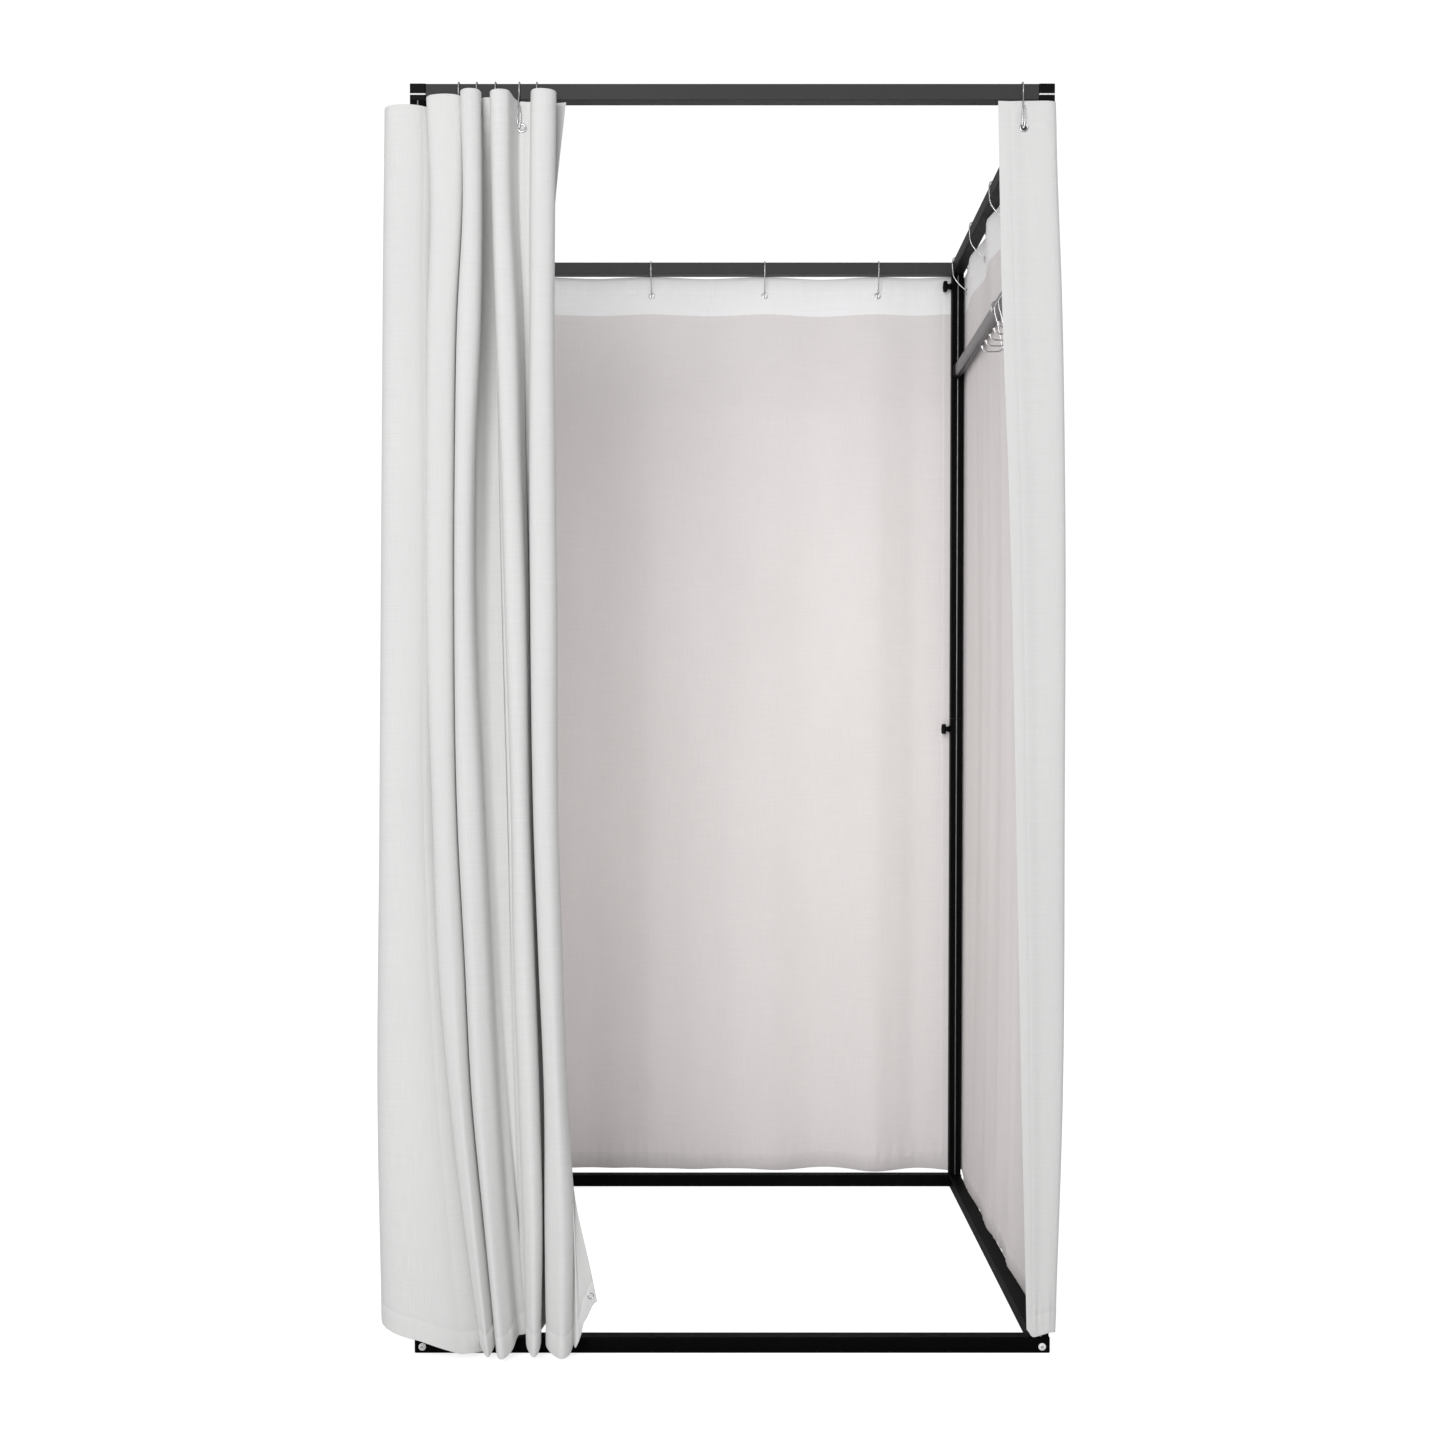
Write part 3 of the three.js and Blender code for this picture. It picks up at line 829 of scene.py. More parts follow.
@dataclass
class Fasteners:
    """The lobed knobs that clamp the posts, and the bolts through the bottom rails."""

    knob_sides: int = 72
    lobes: int = 6
    lobe_depth: float = 1.6 * MM
    head_radius: float = 12 * MM
    neck_radius: float = 5.5 * MM
    head_start: float = 9.3 * MM
    head_end: float = 17.8 * MM
    bolt_radius: float = 5.8 * MM
    bolt_sides: int = 40
    socket_radius: float = 2.7 * MM

    def knob_rings(self) -> Array:
        """One knob's lobed head, with rolled edges and a dished face.

        Returns:
            Its rings, turned about +Z.
        """
        r, a, b = self.head_radius, self.head_start, self.head_end
        head = [
            (0.60 * r, a - 0.3 * MM), (0.84 * r, a), (0.95 * r, a + 0.6 * MM), (r, a + 2 * MM),
            (r, b - 2.4 * MM), (0.965 * r, b - 1.1 * MM), (0.88 * r, b - 0.3 * MM), (0.76 * r, b),
            (0.60 * r, b - 0.1 * MM), (0.52 * r, b - 0.9 * MM), (0.20 * r, b - 1.2 * MM),
            (0.02 * r, b - 1.2 * MM),
        ]
        return turned(head, self.knob_sides, self.lobes, self.lobe_depth)

    def stem_rings(self) -> Array:
        """The plain round stud and neck behind the head.

        Returns:
            Its rings, turned about +Z.
        """
        n = self.neck_radius
        stem = [(2.85 * MM, -1 * MM), (2.85 * MM, 4.3 * MM), (n - 0.4 * MM, 4.35 * MM), (n, 4.8 * MM),
                (n, 8 * MM), (n + 1 * MM, self.head_start + 0.3 * MM)]
        return turned(stem, 32)

    def build_knobs(self) -> None:
        """One knob on each post half, on its own body."""
        for level in ("mid", "top"):
            for name, (sx, sy) in CORNERS.items():
                node = f"{level}_knob_{name}"
                low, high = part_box(node)
                height = (low.z + high.z) / 2
                face = (sx * (PLACES.half_width - PLACES.tube), sy * PLACES.rail_middle, height)
                knob = Solid()
                for rings in (self.knob_rings(), self.stem_rings()):
                    knob.add_faced(rings, (-sx, 0, 0), face)
                make_piece(f"{node}_moulded", knob, BLACK_PLASTIC, node, [node])

    def build_bolts(self) -> None:
        """A domed head, its washer, a hexagon socket and the shank, at each bottom corner."""
        r = self.bolt_radius
        head = [
            (0.78 * r, 0.2 * MM), (0.86 * r, 0.35 * MM), (0.86 * r, 1.2 * MM), (0.80 * r, 2.1 * MM),
            (0.66 * r, 2.9 * MM), (self.socket_radius + 0.3 * MM, 3.3 * MM),
            (self.socket_radius, 3.2 * MM), (self.socket_radius, 1.4 * MM), (0.1 * MM, 1.1 * MM),
        ]
        washer = [(0.5 * r, 0.05 * MM), (r, 0.1 * MM), (r, 0.9 * MM), (0.94 * r, 1.1 * MM),
                  (0.5 * r, 1.1 * MM)]
        shank = [(2.45 * MM, -44.7 * MM), (2.45 * MM, 0.3 * MM)]
        for name, (sx, sy) in CORNERS.items():
            node = f"bottom_bolt_{name}"
            low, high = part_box(node)
            centre = ((low.x + high.x) / 2, sy * PLACES.half_depth, (low.z + high.z) / 2)
            bolt = Solid()
            for profile in (head, washer, shank):
                bolt.add_faced(turned(profile, self.bolt_sides), (0, sy, 0), centre)
            make_piece(f"{node}_head", bolt, BOLT_STEEL, ROOT, [node])
            socket = Solid()
            disc = turned([(self.socket_radius, 1.45 * MM), (0.6 * self.socket_radius, 1.6 * MM),
                           (0.1 * MM, 1.6 * MM)], 6)
            socket.add_faced(disc, (0, sy, 0), centre)
            make_piece(f"{node}_socket", socket, SOCKET_STEEL)

    def build(self) -> None:
        """Makes the knobs and the bolts."""
        self.build_knobs()
        self.build_bolts()


@dataclass
class RodAndRack:
    """The oval clothes rod and the wire hook rack that slides on it."""

    rod_width: float = 15 * MM
    rod_height: float = 30 * MM
    wall: float = 1 * MM
    wire: float = 1.3 * MM
    wire_sides: int = 12
    ball: float = 2.3 * MM
    hooks: int = 5
    pitch: float = 44.4 * MM
    first_hook: float = 40 * MM
    prong_x: float = 0.474
    prong_half_width: float = 19 * MM
    prong_rise: float = 8 * MM
    prong_lift: float = 5 * MM

    def build_rod(self) -> None:
        """The rod as an oval tube with open ends: an outer and an inner skin joined at both ends."""
        low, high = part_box("clothes_rod")
        middle = [(low.x + high.x) / 2, 0, (low.z + high.z) / 2]
        around = 14
        outer = rounded_box_outline(self.rod_width, self.rod_height, self.rod_width / 2 - 0.01 * MM, around)
        inner = rounded_box_outline(self.rod_width - 2 * self.wall, self.rod_height - 2 * self.wall,
                                    self.rod_width / 2 - self.wall - 0.01 * MM, around)
        ends = [(inner, low.y), (outer, low.y), (outer, high.y), (inner, high.y)]
        rings = np.array([
            np.column_stack([o[:, 0], np.full(len(o), y), o[:, 1]]) + middle for o, y in ends])
        rod = Solid()
        rod.add_hoop(rings[:, ::-1])
        make_piece("clothes_rod_tube", rod, ROD_STEEL, ROOT, ["clothes_rod"])

    def build_rack(self) -> None:
        """The bar, a loop over the rod at each end, and double prongs with a ball on every tip."""
        low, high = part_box("hook_rack")
        rod_low, rod_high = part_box("clothes_rod")
        rod_x = (rod_low.x + rod_high.x) / 2
        bottom = low.z + self.wire + self.prong_lift
        near = rod_x - self.rod_width / 2 - self.wire - 1.2 * MM
        far = 2 * rod_x - near
        bar_z = (rod_low.z + rod_high.z) / 2 - 3 * MM
        wires = Solid()
        bar = np.linspace([near, high.y, bar_z], [near, low.y, bar_z], 24)
        wires.add_rings(swept(bar, self.wire, self.wire_sides, (1, 0, 0)))
        for y in (high.y - self.wire, low.y + self.wire):
            loop = curve_through([
                (near, y, bar_z), (near, y, rod_high.z - 7 * MM),
                (near + 2.5 * MM, y, rod_high.z - 1 * MM), (rod_x, y, rod_high.z + self.wire + 0.6 * MM),
                (far - 2.5 * MM, y, rod_high.z - 1 * MM), (far, y, rod_high.z - 9 * MM),
                (far, y, rod_high.z - 19 * MM),
            ], 48)
            wires.add_rings(swept(loop, self.wire, self.wire_sides, (0, 1, 0)))
        for k in range(self.hooks):
            y = high.y - self.first_hook - k * self.pitch
            tip = self.prong_x + 0.93 * self.prong_half_width
            stem = curve_through([
                (near, y, bar_z), (near + 0.3 * MM, y, rod_low.z), (near + 3 * MM, y, rod_low.z - 9 * MM),
                (0.5 * (near + 3 * MM + tip), y, 0.5 * (rod_low.z + bottom)), (tip, y, bottom + 6 * MM),
            ], 24)
            wires.add_rings(swept(stem, self.wire, self.wire_sides, (0, 1, 0)))
            shape = [(-1, self.prong_rise), (-0.9, 4 * MM), (-0.53, 0.5 * MM), (0, 0), (0.53, 0.5 * MM),
                     (0.9, 4 * MM), (1, self.prong_rise)]
            prong = curve_through([
                (self.prong_x + s * self.prong_half_width, y, bottom + rise) for s, rise in shape], 36)
            wires.add_rings(swept(prong, self.wire, self.wire_sides, (0, 1, 0)))
        make_piece("hook_rack_wires", wires, BRIGHT_WIRE, "hook_rack", ["hook_rack"])
        balls = Solid()
        turn = np.linspace(-np.pi / 2 + 0.08, np.pi / 2 - 0.08, 12)
        sphere = turned(list(zip(self.ball * np.cos(turn), self.ball * np.sin(turn))), 20)
        for k in range(self.hooks):
            for side in (-1, 1):
                y = high.y - self.first_hook - k * self.pitch
                x = self.prong_x + side * self.prong_half_width
                balls.add_rings(sphere + [x, y, bottom + self.prong_rise + 1 * MM])
        make_piece("hook_rack_tips", balls, WHITE_NYLON, "hook_rack")

    def build(self) -> None:
        """Makes the rod and the rack."""
        self.build_rod()
        self.build_rack()


# ---- curtain hooks ------------------------------------------------------------------------------------
class Side(Enum):
    """A side of the booth: the direction outwards, and the direction along its rail."""

    FRONT = ((0, -1), (1, 0))
    REAR = ((0, 1), (-1, 0))
    RIGHT = ((1, 0), (0, 1))
    LEFT = ((-1, 0), (0, -1))


@dataclass
class CurtainHooks:
    """Bent wire hooks that hang on a rail and end in an eyelet."""

    wire: float = 1.15 * MM
    wire_sides: int = 12
    spread: float = 2.3 * MM

    def shape(self, front: bool) -> list[tuple[float, float, float]]:
        """The hook's bends.

        Args:
            front: Whether both strands of its lower loop lie outside the cloth.

        Returns:
            Distance along the rail, distance outwards from the rail's middle, and height.
        """
        eye = PLACES.cloth_top - PLACES.eyelet_drop
        top, under = PLACES.rail_top, PLACES.rail_under
        half = PLACES.tube / 2
        s = self.spread
        over = [
            (0, -half - 2.6 * MM, under + 3 * MM), (0, -half - 2.9 * MM, top - 4 * MM),
            (0, -half - 0.5 * MM, top + 1.6 * MM), (0, 0, top + 2.6 * MM),
            (0, half + 0.5 * MM, top + 1.6 * MM), (0, half + 2.9 * MM, top - 4 * MM),
            (0, half + 3.5 * MM, under + 6 * MM),
        ]
        cloth = half + PLACES.cloth_line
        if front:
            return [(0, -half - 1 * MM, under - 9 * MM)] + over + [
                (-0.3 * s, cloth + 3.4 * MM, under - 3 * MM), (-s, cloth + 4.2 * MM, eye + 20 * MM),
                (-0.8 * s, cloth + 3.6 * MM, eye + 6 * MM), (0, cloth + 1.8 * MM, eye - 1.5 * MM),
                (0.8 * s, cloth + 3.6 * MM, eye + 6 * MM), (s, cloth + 4.2 * MM, eye + 20 * MM),
                (0.5 * s, cloth + 3.8 * MM, eye + 32 * MM),
            ]
        return [
            (0, half + 0.1 * MM, eye + 3.6 * MM), (0, 6 * MM, eye + 9 * MM), (0, -5 * MM, eye + 20 * MM),
            (0, -half, under - 12 * MM),
        ] + over + [
            (0, cloth + 3.4 * MM, under - 2 * MM), (0, cloth + 5 * MM, eye + 18 * MM),
            (0, cloth + 3.6 * MM, eye + 3 * MM), (0, cloth + 0.5 * MM, eye - 1.6 * MM),
            (0, cloth - 3 * MM, eye),
        ]

    def build_one(self, name: str, side: Side, along: float, body: str = ROOT,
                  stands_for: Sequence[str] = ()) -> None:
        """One hook.

        Args:
            name: The piece's name.
            side: The rail that it hangs on.
            along: Its place along the rail, as an X or a Y.
            body: The body that it moves with.
            stands_for: CAD nodes that it replaces.
        """
        (ox, oy), (ax, ay) = side.value
        bends = self.shape(side is Side.FRONT)
        place = (along, 0) if ox == 0 else (0, along)
        middle = PLACES.rail_middle
        line = curve_through([
            (place[0] + ox * (middle + out) + ax * shift, place[1] + oy * (middle + out) + ay * shift, z)
            for shift, out, z in bends], 110)
        hook = Solid()
        hook.add_rings(swept(line, self.wire, self.wire_sides, (ax, ay, 0)))
        make_piece(name, hook, BRIGHT_WIRE, body, stands_for)


# ---- curtains -----------------------------------------------------------------------------------------
@dataclass
class Cloth:
    """A hanging sheet with two faces, hems, stitches and eyelet holes.

    The middle of the sheet is a surface of two parameters, metres across and metres down. At each of a
    few depths a smooth plan line runs through control points, and the lines are joined smoothly from
    depth to depth. The two faces stand half a thickness off it along its normal.
    """

    name: str
    depths: Array
    control: Array
    length: float
    eyelets: Sequence[int] = ()
    pierced: bool = True
    column_step: float = 7 * MM
    row_step: float = 16 * MM
    half_thickness: float = 0.45 * MM
    header: float = 79 * MM
    stitch: float = 34 * MM
    side_hem: float = 19 * MM
    hole: float = 4.8 * MM
    edge_roll: float = 1.1 * MM
    pucker: float = 0.55 * MM
    top_shift: Callable[[Array], Array] | None = None
    hem_shift: Callable[[Array], Array] | None = None
    ripple: Callable[[Array, Array], Array] | None = None

    def __post_init__(self) -> None:
        """Works out the knots, and how far across the cloth each one is at the eyelets."""
        chord = np.linalg.norm(np.diff(self.control, axis=1), axis=2).mean(axis=0)
        self.knots = np.concatenate([[0], np.cumsum(np.sqrt(chord))])
        fine = np.linspace(0, self.knots[-1], 4000)
        row = self.plan(fine, np.array([PLACES.eyelet_drop]))[0]
        run = np.concatenate([[0], np.cumsum(np.linalg.norm(np.diff(row, axis=0), axis=1))])
        self.fine, self.run = fine, run
        self.width = float(run[-1])
        self.eyelet_across = np.interp(self.knots[list(self.eyelets)], fine, run) if self.eyelets else []

    def plan(self, knots: Array, depths: Array) -> Array:
        """Plan positions, depths by knots by two."""
        across = smooth_through(self.knots, self.control.transpose(1, 0, 2), knots)
        return smooth_through(self.depths, across.transpose(1, 0, 2), depths)

    def middle(self, across: Array, down: Array) -> Array:
        """The middle of the sheet.

        Args:
            across: Metres across, one for each column.
            down: Metres down, one for each row.

        Returns:
            Rows by columns by three.
        """
        plan = self.plan(np.interp(across, self.run, self.fine), down)
        height = PLACES.cloth_top - down[:, None] + np.zeros(len(across))
        if self.top_shift is not None:
            height = height + self.top_shift(across) * ease(1 - down / 0.30)[:, None]
        if self.hem_shift is not None:
            height = height + self.hem_shift(across) * ease(1 - (self.length - down) / 0.42)[:, None]
        points = np.concatenate([plan, height[..., None]], -1)
        if self.ripple is not None:
            normal = self.normals(points)
            points = points + normal * self.ripple(across[None, :], down[:, None])[..., None]
        return points

    @staticmethod
    def normals(points: Array) -> Array:
        """The direction outwards at each point of a grid: down crossed with across."""
        return unit(np.cross(np.gradient(points, axis=0), np.gradient(points, axis=1)))

    def spaced(self, length: float, step: float, special: Sequence[float]) -> Array:
        """Even places from 0 to length, with the special ones in place of those too near them.

        Args:
            length: Where the places end.
            step: The gap between even places.
            special: Places that have to be there.

        Returns:
            The places in order.
        """
        extra = np.unique(np.round([0, *special, length], 6))
        even = np.linspace(0, length, max(2, round(length / step)) + 1)
        far = np.abs(even[:, None] - extra).min(axis=1) > 0.35 * step
        return np.unique(np.concatenate([extra, even[far]]))

    def columns(self) -> Array:
        """The columns of the mesh, with extra ones at edges, hems and eyelets.

        Returns:
            Metres across of each column.
        """
        roll = [0.08 * self.edge_roll, 0.35 * self.edge_roll, self.edge_roll]
        hem = [self.side_hem - 0.9 * MM, self.side_hem, self.side_hem + 0.9 * MM]
        near = roll + hem
        special = near + [self.width - x for x in near]
        for x in self.eyelet_across:
            special += [x - 8 * MM, x - self.hole, x, x + self.hole, x + 8 * MM]
        return self.spaced(self.width, self.column_step, special)

    def rows(self) -> Array:
        """The rows of the mesh, with extra ones at edges, stitch lines and eyelets.

        Returns:
            Metres down of each row.
        """
        roll = [0.08 * self.edge_roll, 0.35 * self.edge_roll, self.edge_roll]
        lines = [4 * MM, self.stitch, self.header]
        near = roll + [x + d for x in lines for d in (-0.9 * MM, 0, 0.9 * MM)]
        hem = roll + [self.stitch + d for d in (-0.9 * MM, 0, 0.9 * MM)] + [8 * MM, 20 * MM, 48 * MM]
        drop = PLACES.eyelet_drop
        special = near + [12 * MM, 22 * MM, 56 * MM] + [self.length - x for x in hem]
        special += [drop - 8 * MM, drop - self.hole, drop, drop + self.hole, drop + 8 * MM]
        return self.spaced(self.length, self.row_step, special)

    def seams(self, across: Array, down: Array) -> tuple[Array, Array]:
        """How far the outer and the inner face stand off the middle, at each grid point.

        Stitch lines are narrow dents, exp(-(distance / 0.8 mm)^2), in both faces. The inner face steps
        out over the hems, and both faces close like half a circle at the sheet's edges.

        Args:
            across: Metres across of each column.
            down: Metres down of each row.

        Returns:
            The outer and the inner distance.
        """
        to_top = down[:, None] + 0 * across
        to_hem = self.length - to_top
        to_side = np.minimum(across, self.width - across)[None, :] + 0 * to_top
        edge = np.minimum(np.minimum(to_top, to_hem), to_side)
        roll = np.sqrt(np.clip(1 - (1 - np.clip(edge / self.edge_roll, 0, 1)) ** 2, 0.004, 1))
        dent = np.zeros_like(edge)
        for gap in (to_top - 4 * MM, to_top - self.stitch, to_hem - self.stitch, to_side - self.side_hem):
            dent = np.maximum(dent, np.exp(-(gap / (0.8 * MM)) ** 2))
        step = np.maximum.reduce([
            ease((self.header - to_top) / (0.8 * MM) + 0.5),
            ease((self.stitch - to_hem) / (0.8 * MM) + 0.5),
            ease((self.side_hem - to_side) / (0.8 * MM) + 0.5),
        ])
        outer = (self.half_thickness + 0.15 * MM * step - 0.42 * MM * dent) * roll
        inner = (self.half_thickness + 0.55 * MM * step - 0.30 * MM * dent) * roll
        return outer, inner

    def puckers(self, across: Array, down: Array) -> Array:
        """Small gathers beside the stitch lines: waves along each line that fade away from it.

        The height is pucker * (sin + 0.6 * sin) across, times exp(-distance / 13 mm) at half strength
        beside the header's line and exp(-distance / 16 mm) beside the hem's.

        Args:
            across: Metres across of each column.
            down: Metres down of each row.

        Returns:
            How far each point moves outwards.
        """
        wave = (np.sin(2 * np.pi * across / 0.023 + 1.7 * np.sin(across * 31)) +
                0.6 * np.sin(2 * np.pi * across / 0.0147 + 2.1 * np.sin(across * 17 + 1)))
        near_top = np.exp(-np.abs(down - self.stitch) / 0.013)
        near_hem = np.exp(-np.abs(self.length - down - self.stitch) / 0.016)
        return self.pucker * wave[None, :] * (0.5 * near_top + near_hem)[:, None]

    def frame_at(self, across: float, down: float) -> tuple[Array, Array]:
        """The middle of the sheet at one place.

        Args:
            across: Metres across.
            down: Metres down.

        Returns:
            The point and its direction outwards.
        """
        step = 2 * MM
        grid = self.middle(across + np.array([-step, 0, step]), down + np.array([-step, 0, step]))
        return grid[1, 1], self.normals(grid)[1, 1]

    def build(self, finishes: Sequence[ClothFinish]) -> bpy.types.Object:
        """Makes the sheet.

        Args:
            finishes: Its outer and its inner face's finish.

        Returns:
            The sheet's object, not yet riding on anything.
        """
        across, down = self.columns(), self.rows()
        middle = self.middle(across, down)
        normal = self.normals(middle)
        middle = middle + normal * self.puckers(across, down)[..., None]
        normal = self.normals(middle)
        outer_gap, inner_gap = self.seams(across, down)
        outer = middle + normal * outer_gap[..., None]
        inner = middle - normal * inner_gap[..., None]

        rows, columns = len(down), len(across)
        keep = np.ones((rows - 1, columns - 1), bool)
        if self.pierced:
            x = (across[1:] + across[:-1]) / 2
            z = (down[1:] + down[:-1]) / 2
            for place in self.eyelet_across:
                inside_x = np.abs(x - place) < self.hole
                inside_z = np.abs(z - PLACES.eyelet_drop) < self.hole
                keep &= ~(inside_z[:, None] & inside_x[None, :])
        faces, sides = self.shell_faces(keep)
        used, faces = np.unique(faces, return_inverse=True)
        faces = faces.reshape(-1, 4)
        points = np.concatenate([outer.reshape(-1, 3), inner.reshape(-1, 3)])[used]
        piece = make_object(self.name, points, faces.tolist())
        flat = np.stack(np.meshgrid(across, down), -1).reshape(-1, 2)
        flat = np.concatenate([flat, flat])[used]
        layer = piece.data.uv_layers.new(name=CLOTH_UV)
        layer.data.foreach_set("uv", flat[faces.reshape(-1)].astype(np.float32).reshape(-1))
        for finish in finishes:
            piece.data.materials.append(finish.build())
        piece.data.polygons.foreach_set("material_index", (sides == 1).astype(np.int32))
        piece.data.polygons.foreach_set("use_smooth", np.ones(len(faces), bool))
        piece.data.update()
        LOG.info("%s: %.3f m wide on its plan line, %d faces", self.name, self.width, len(faces))
        return piece

    @staticmethod
    def shell_faces(keep: Array) -> tuple[Array, Array]:
        """The faces of a two-sided sheet with holes.

        The outer face's cells turn one way and the inner face's the other. Wherever a kept cell has no
        kept neighbour, a rim face joins the two sides.

        Args:
            keep: Which cells are cloth, rows by columns.

        Returns:
            The faces, and for each 0 for outer, 1 for inner and 2 for rim.
        """
        rows, columns = keep.shape[0] + 1, keep.shape[1] + 1
        index = np.arange(rows * columns).reshape(rows, columns)
        back = index + rows * columns
        i, j = np.nonzero(keep)
        outer = np.stack([index[i, j], index[i + 1, j], index[i + 1, j + 1], index[i, j + 1]], -1)
        inner = np.stack([back[i, j], back[i, j + 1], back[i + 1, j + 1], back[i + 1, j]], -1)
        wide = np.pad(keep, 1)
        rims = []
        for edge, ends in (
            (wide[1:, 1:-1] & ~wide[:-1, 1:-1], ((0, 0), (0, 1))),
            (wide[:-1, 1:-1] & ~wide[1:, 1:-1], ((0, 1), (0, 0))),
            (wide[1:-1, 1:] & ~wide[1:-1, :-1], ((1, 0), (0, 0))),
            (wide[1:-1, :-1] & ~wide[1:-1, 1:], ((0, 0), (1, 0))),
        ):
            i, j = np.nonzero(edge)
            (a, b), (c, d) = ends
            rims.append(np.stack([
                index[i + a, j + b], index[i + c, j + d], back[i + c, j + d], back[i + a, j + b]], -1))
        rim = np.concatenate(rims)
        sides = np.repeat([0, 1, 2], [len(outer), len(inner), len(rim)])
        return np.concatenate([outer, inner, rim]), sides


@dataclass
class Eyelets:
    """Pressed metal rings round the cloth's holes."""

    inner_radius: float = 4.1 * MM
    outer_radius: float = 7.4 * MM
    rise: float = 1.9 * MM
    section_sides: int = 16
    hoop_sides: int = 40

    def ring(self) -> Array:
        """A hoop whose section is a flat-sided oval from the inner to the outer radius.

        The section is half * cos^0.8 by rise * sin^0.8, with the signs kept.

        Returns:
            The section's points at each step round the hoop, for Solid.add_hoop.
        """
        angle = np.linspace(0, 2 * np.pi, self.section_sides, endpoint=False)
        middle = (self.inner_radius + self.outer_radius) / 2
        half = (self.outer_radius - self.inner_radius) / 2
        radius = middle + half * np.sign(np.cos(angle)) * np.abs(np.cos(angle)) ** 0.8
        height = self.rise * np.sign(np.sin(angle)) * np.abs(np.sin(angle)) ** 0.8
        around = np.linspace(0, 2 * np.pi, self.hoop_sides, endpoint=False)
        return np.stack([
            np.cos(around)[:, None] * radius, np.sin(around)[:, None] * radius,
            np.broadcast_to(height, (self.hoop_sides, self.section_sides))], -1)

    def add(self, solid: Solid, centre: Array, normal: Array) -> None:
        """Adds one ring.

        Args:
            solid: Where it goes.
            centre: Its place on the cloth.
            normal: Its direction, out of the cloth.
        """
        rings = self.ring()
        solid.add_hoop(faced(rings.reshape(-1, 3), normal, centre).reshape(rings.shape))

    def add_cup(self, solid: Solid, centre: Array, normal: Array) -> None:
        """Adds the shallow dark cup that shows inside a closed eyelet.

        Args:
            solid: Where it goes.
            centre: Its place on the cloth.
            normal: Its direction, out of the cloth.
        """
        radius = self.inner_radius + 0.4 * MM
        cup = turned([(radius, 0.3 * MM), (radius, 0.95 * MM), (0.6 * radius, 0.8 * MM),
                      (0.05 * MM, 0.75 * MM)], 24)
        solid.add_faced(cup, normal, centre)


CLOTH_WHITE = (0.76, 0.76, 0.75)
CLOTH_SHADE = (0.735, 0.735, 0.727)
LINING = (0.76, 0.727, 0.723)
LINING_SHADE = (0.735, 0.702, 0.698)
HEADER_WHITE = (0.90, 0.90, 0.91)


def cloth_finishes(length: float, header: float) -> list[ClothFinish]:
    """The two finishes of a curtain.

    Args:
        length: The curtain's length.
        header: How deep its white header is.

    Returns:
        The outer and the inner finish.
    """
    return [
        ClothFinish(side, length, color, shade, HEADER_WHITE, header)
        for side, color, shade in (
            (ClothSide.OUTER, CLOTH_WHITE, CLOTH_SHADE), (ClothSide.INNER, LINING, LINING_SHADE))
    ]


def waves(seed: int, lengths: Sequence[float], size: float, lean: float) -> Callable[[Array, Array], Array]:
    """Shallow upright folds: sines across the cloth that drift and swell on the way down.

    Args:
        seed: Sets the phases.
        lengths: The wavelength of each sine across the cloth, in metres.
        size: The height of the longest one.
        lean: How far a fold drifts sideways, in metres for each metre down.

    Returns:
        A function of metres across and metres down.
    """
    phase = np.random.default_rng(seed).uniform(0, 2 * np.pi, (len(lengths), 3))

    def height(across: Array, down: Array) -> Array:
        """The height of the folds: the sum of the sines, which fades in below the top edge.

        Args:
            across: Metres across.
            down: Metres down.

        Returns:
            The height at each place.
        """
        total = 0 * across * down
        for (a, b, c), wavelength in zip(phase, lengths):
            drift = lean * down + 0.012 * np.sin(2.3 * down + b)
            swell = 0.65 + 0.35 * np.sin(1.9 * down + c)
            total = total + wavelength * np.sin(2 * np.pi * (across + drift) / wavelength + a) * swell
        return total * size / max(lengths) * ease((down - 0.03) / 0.25)

    return height


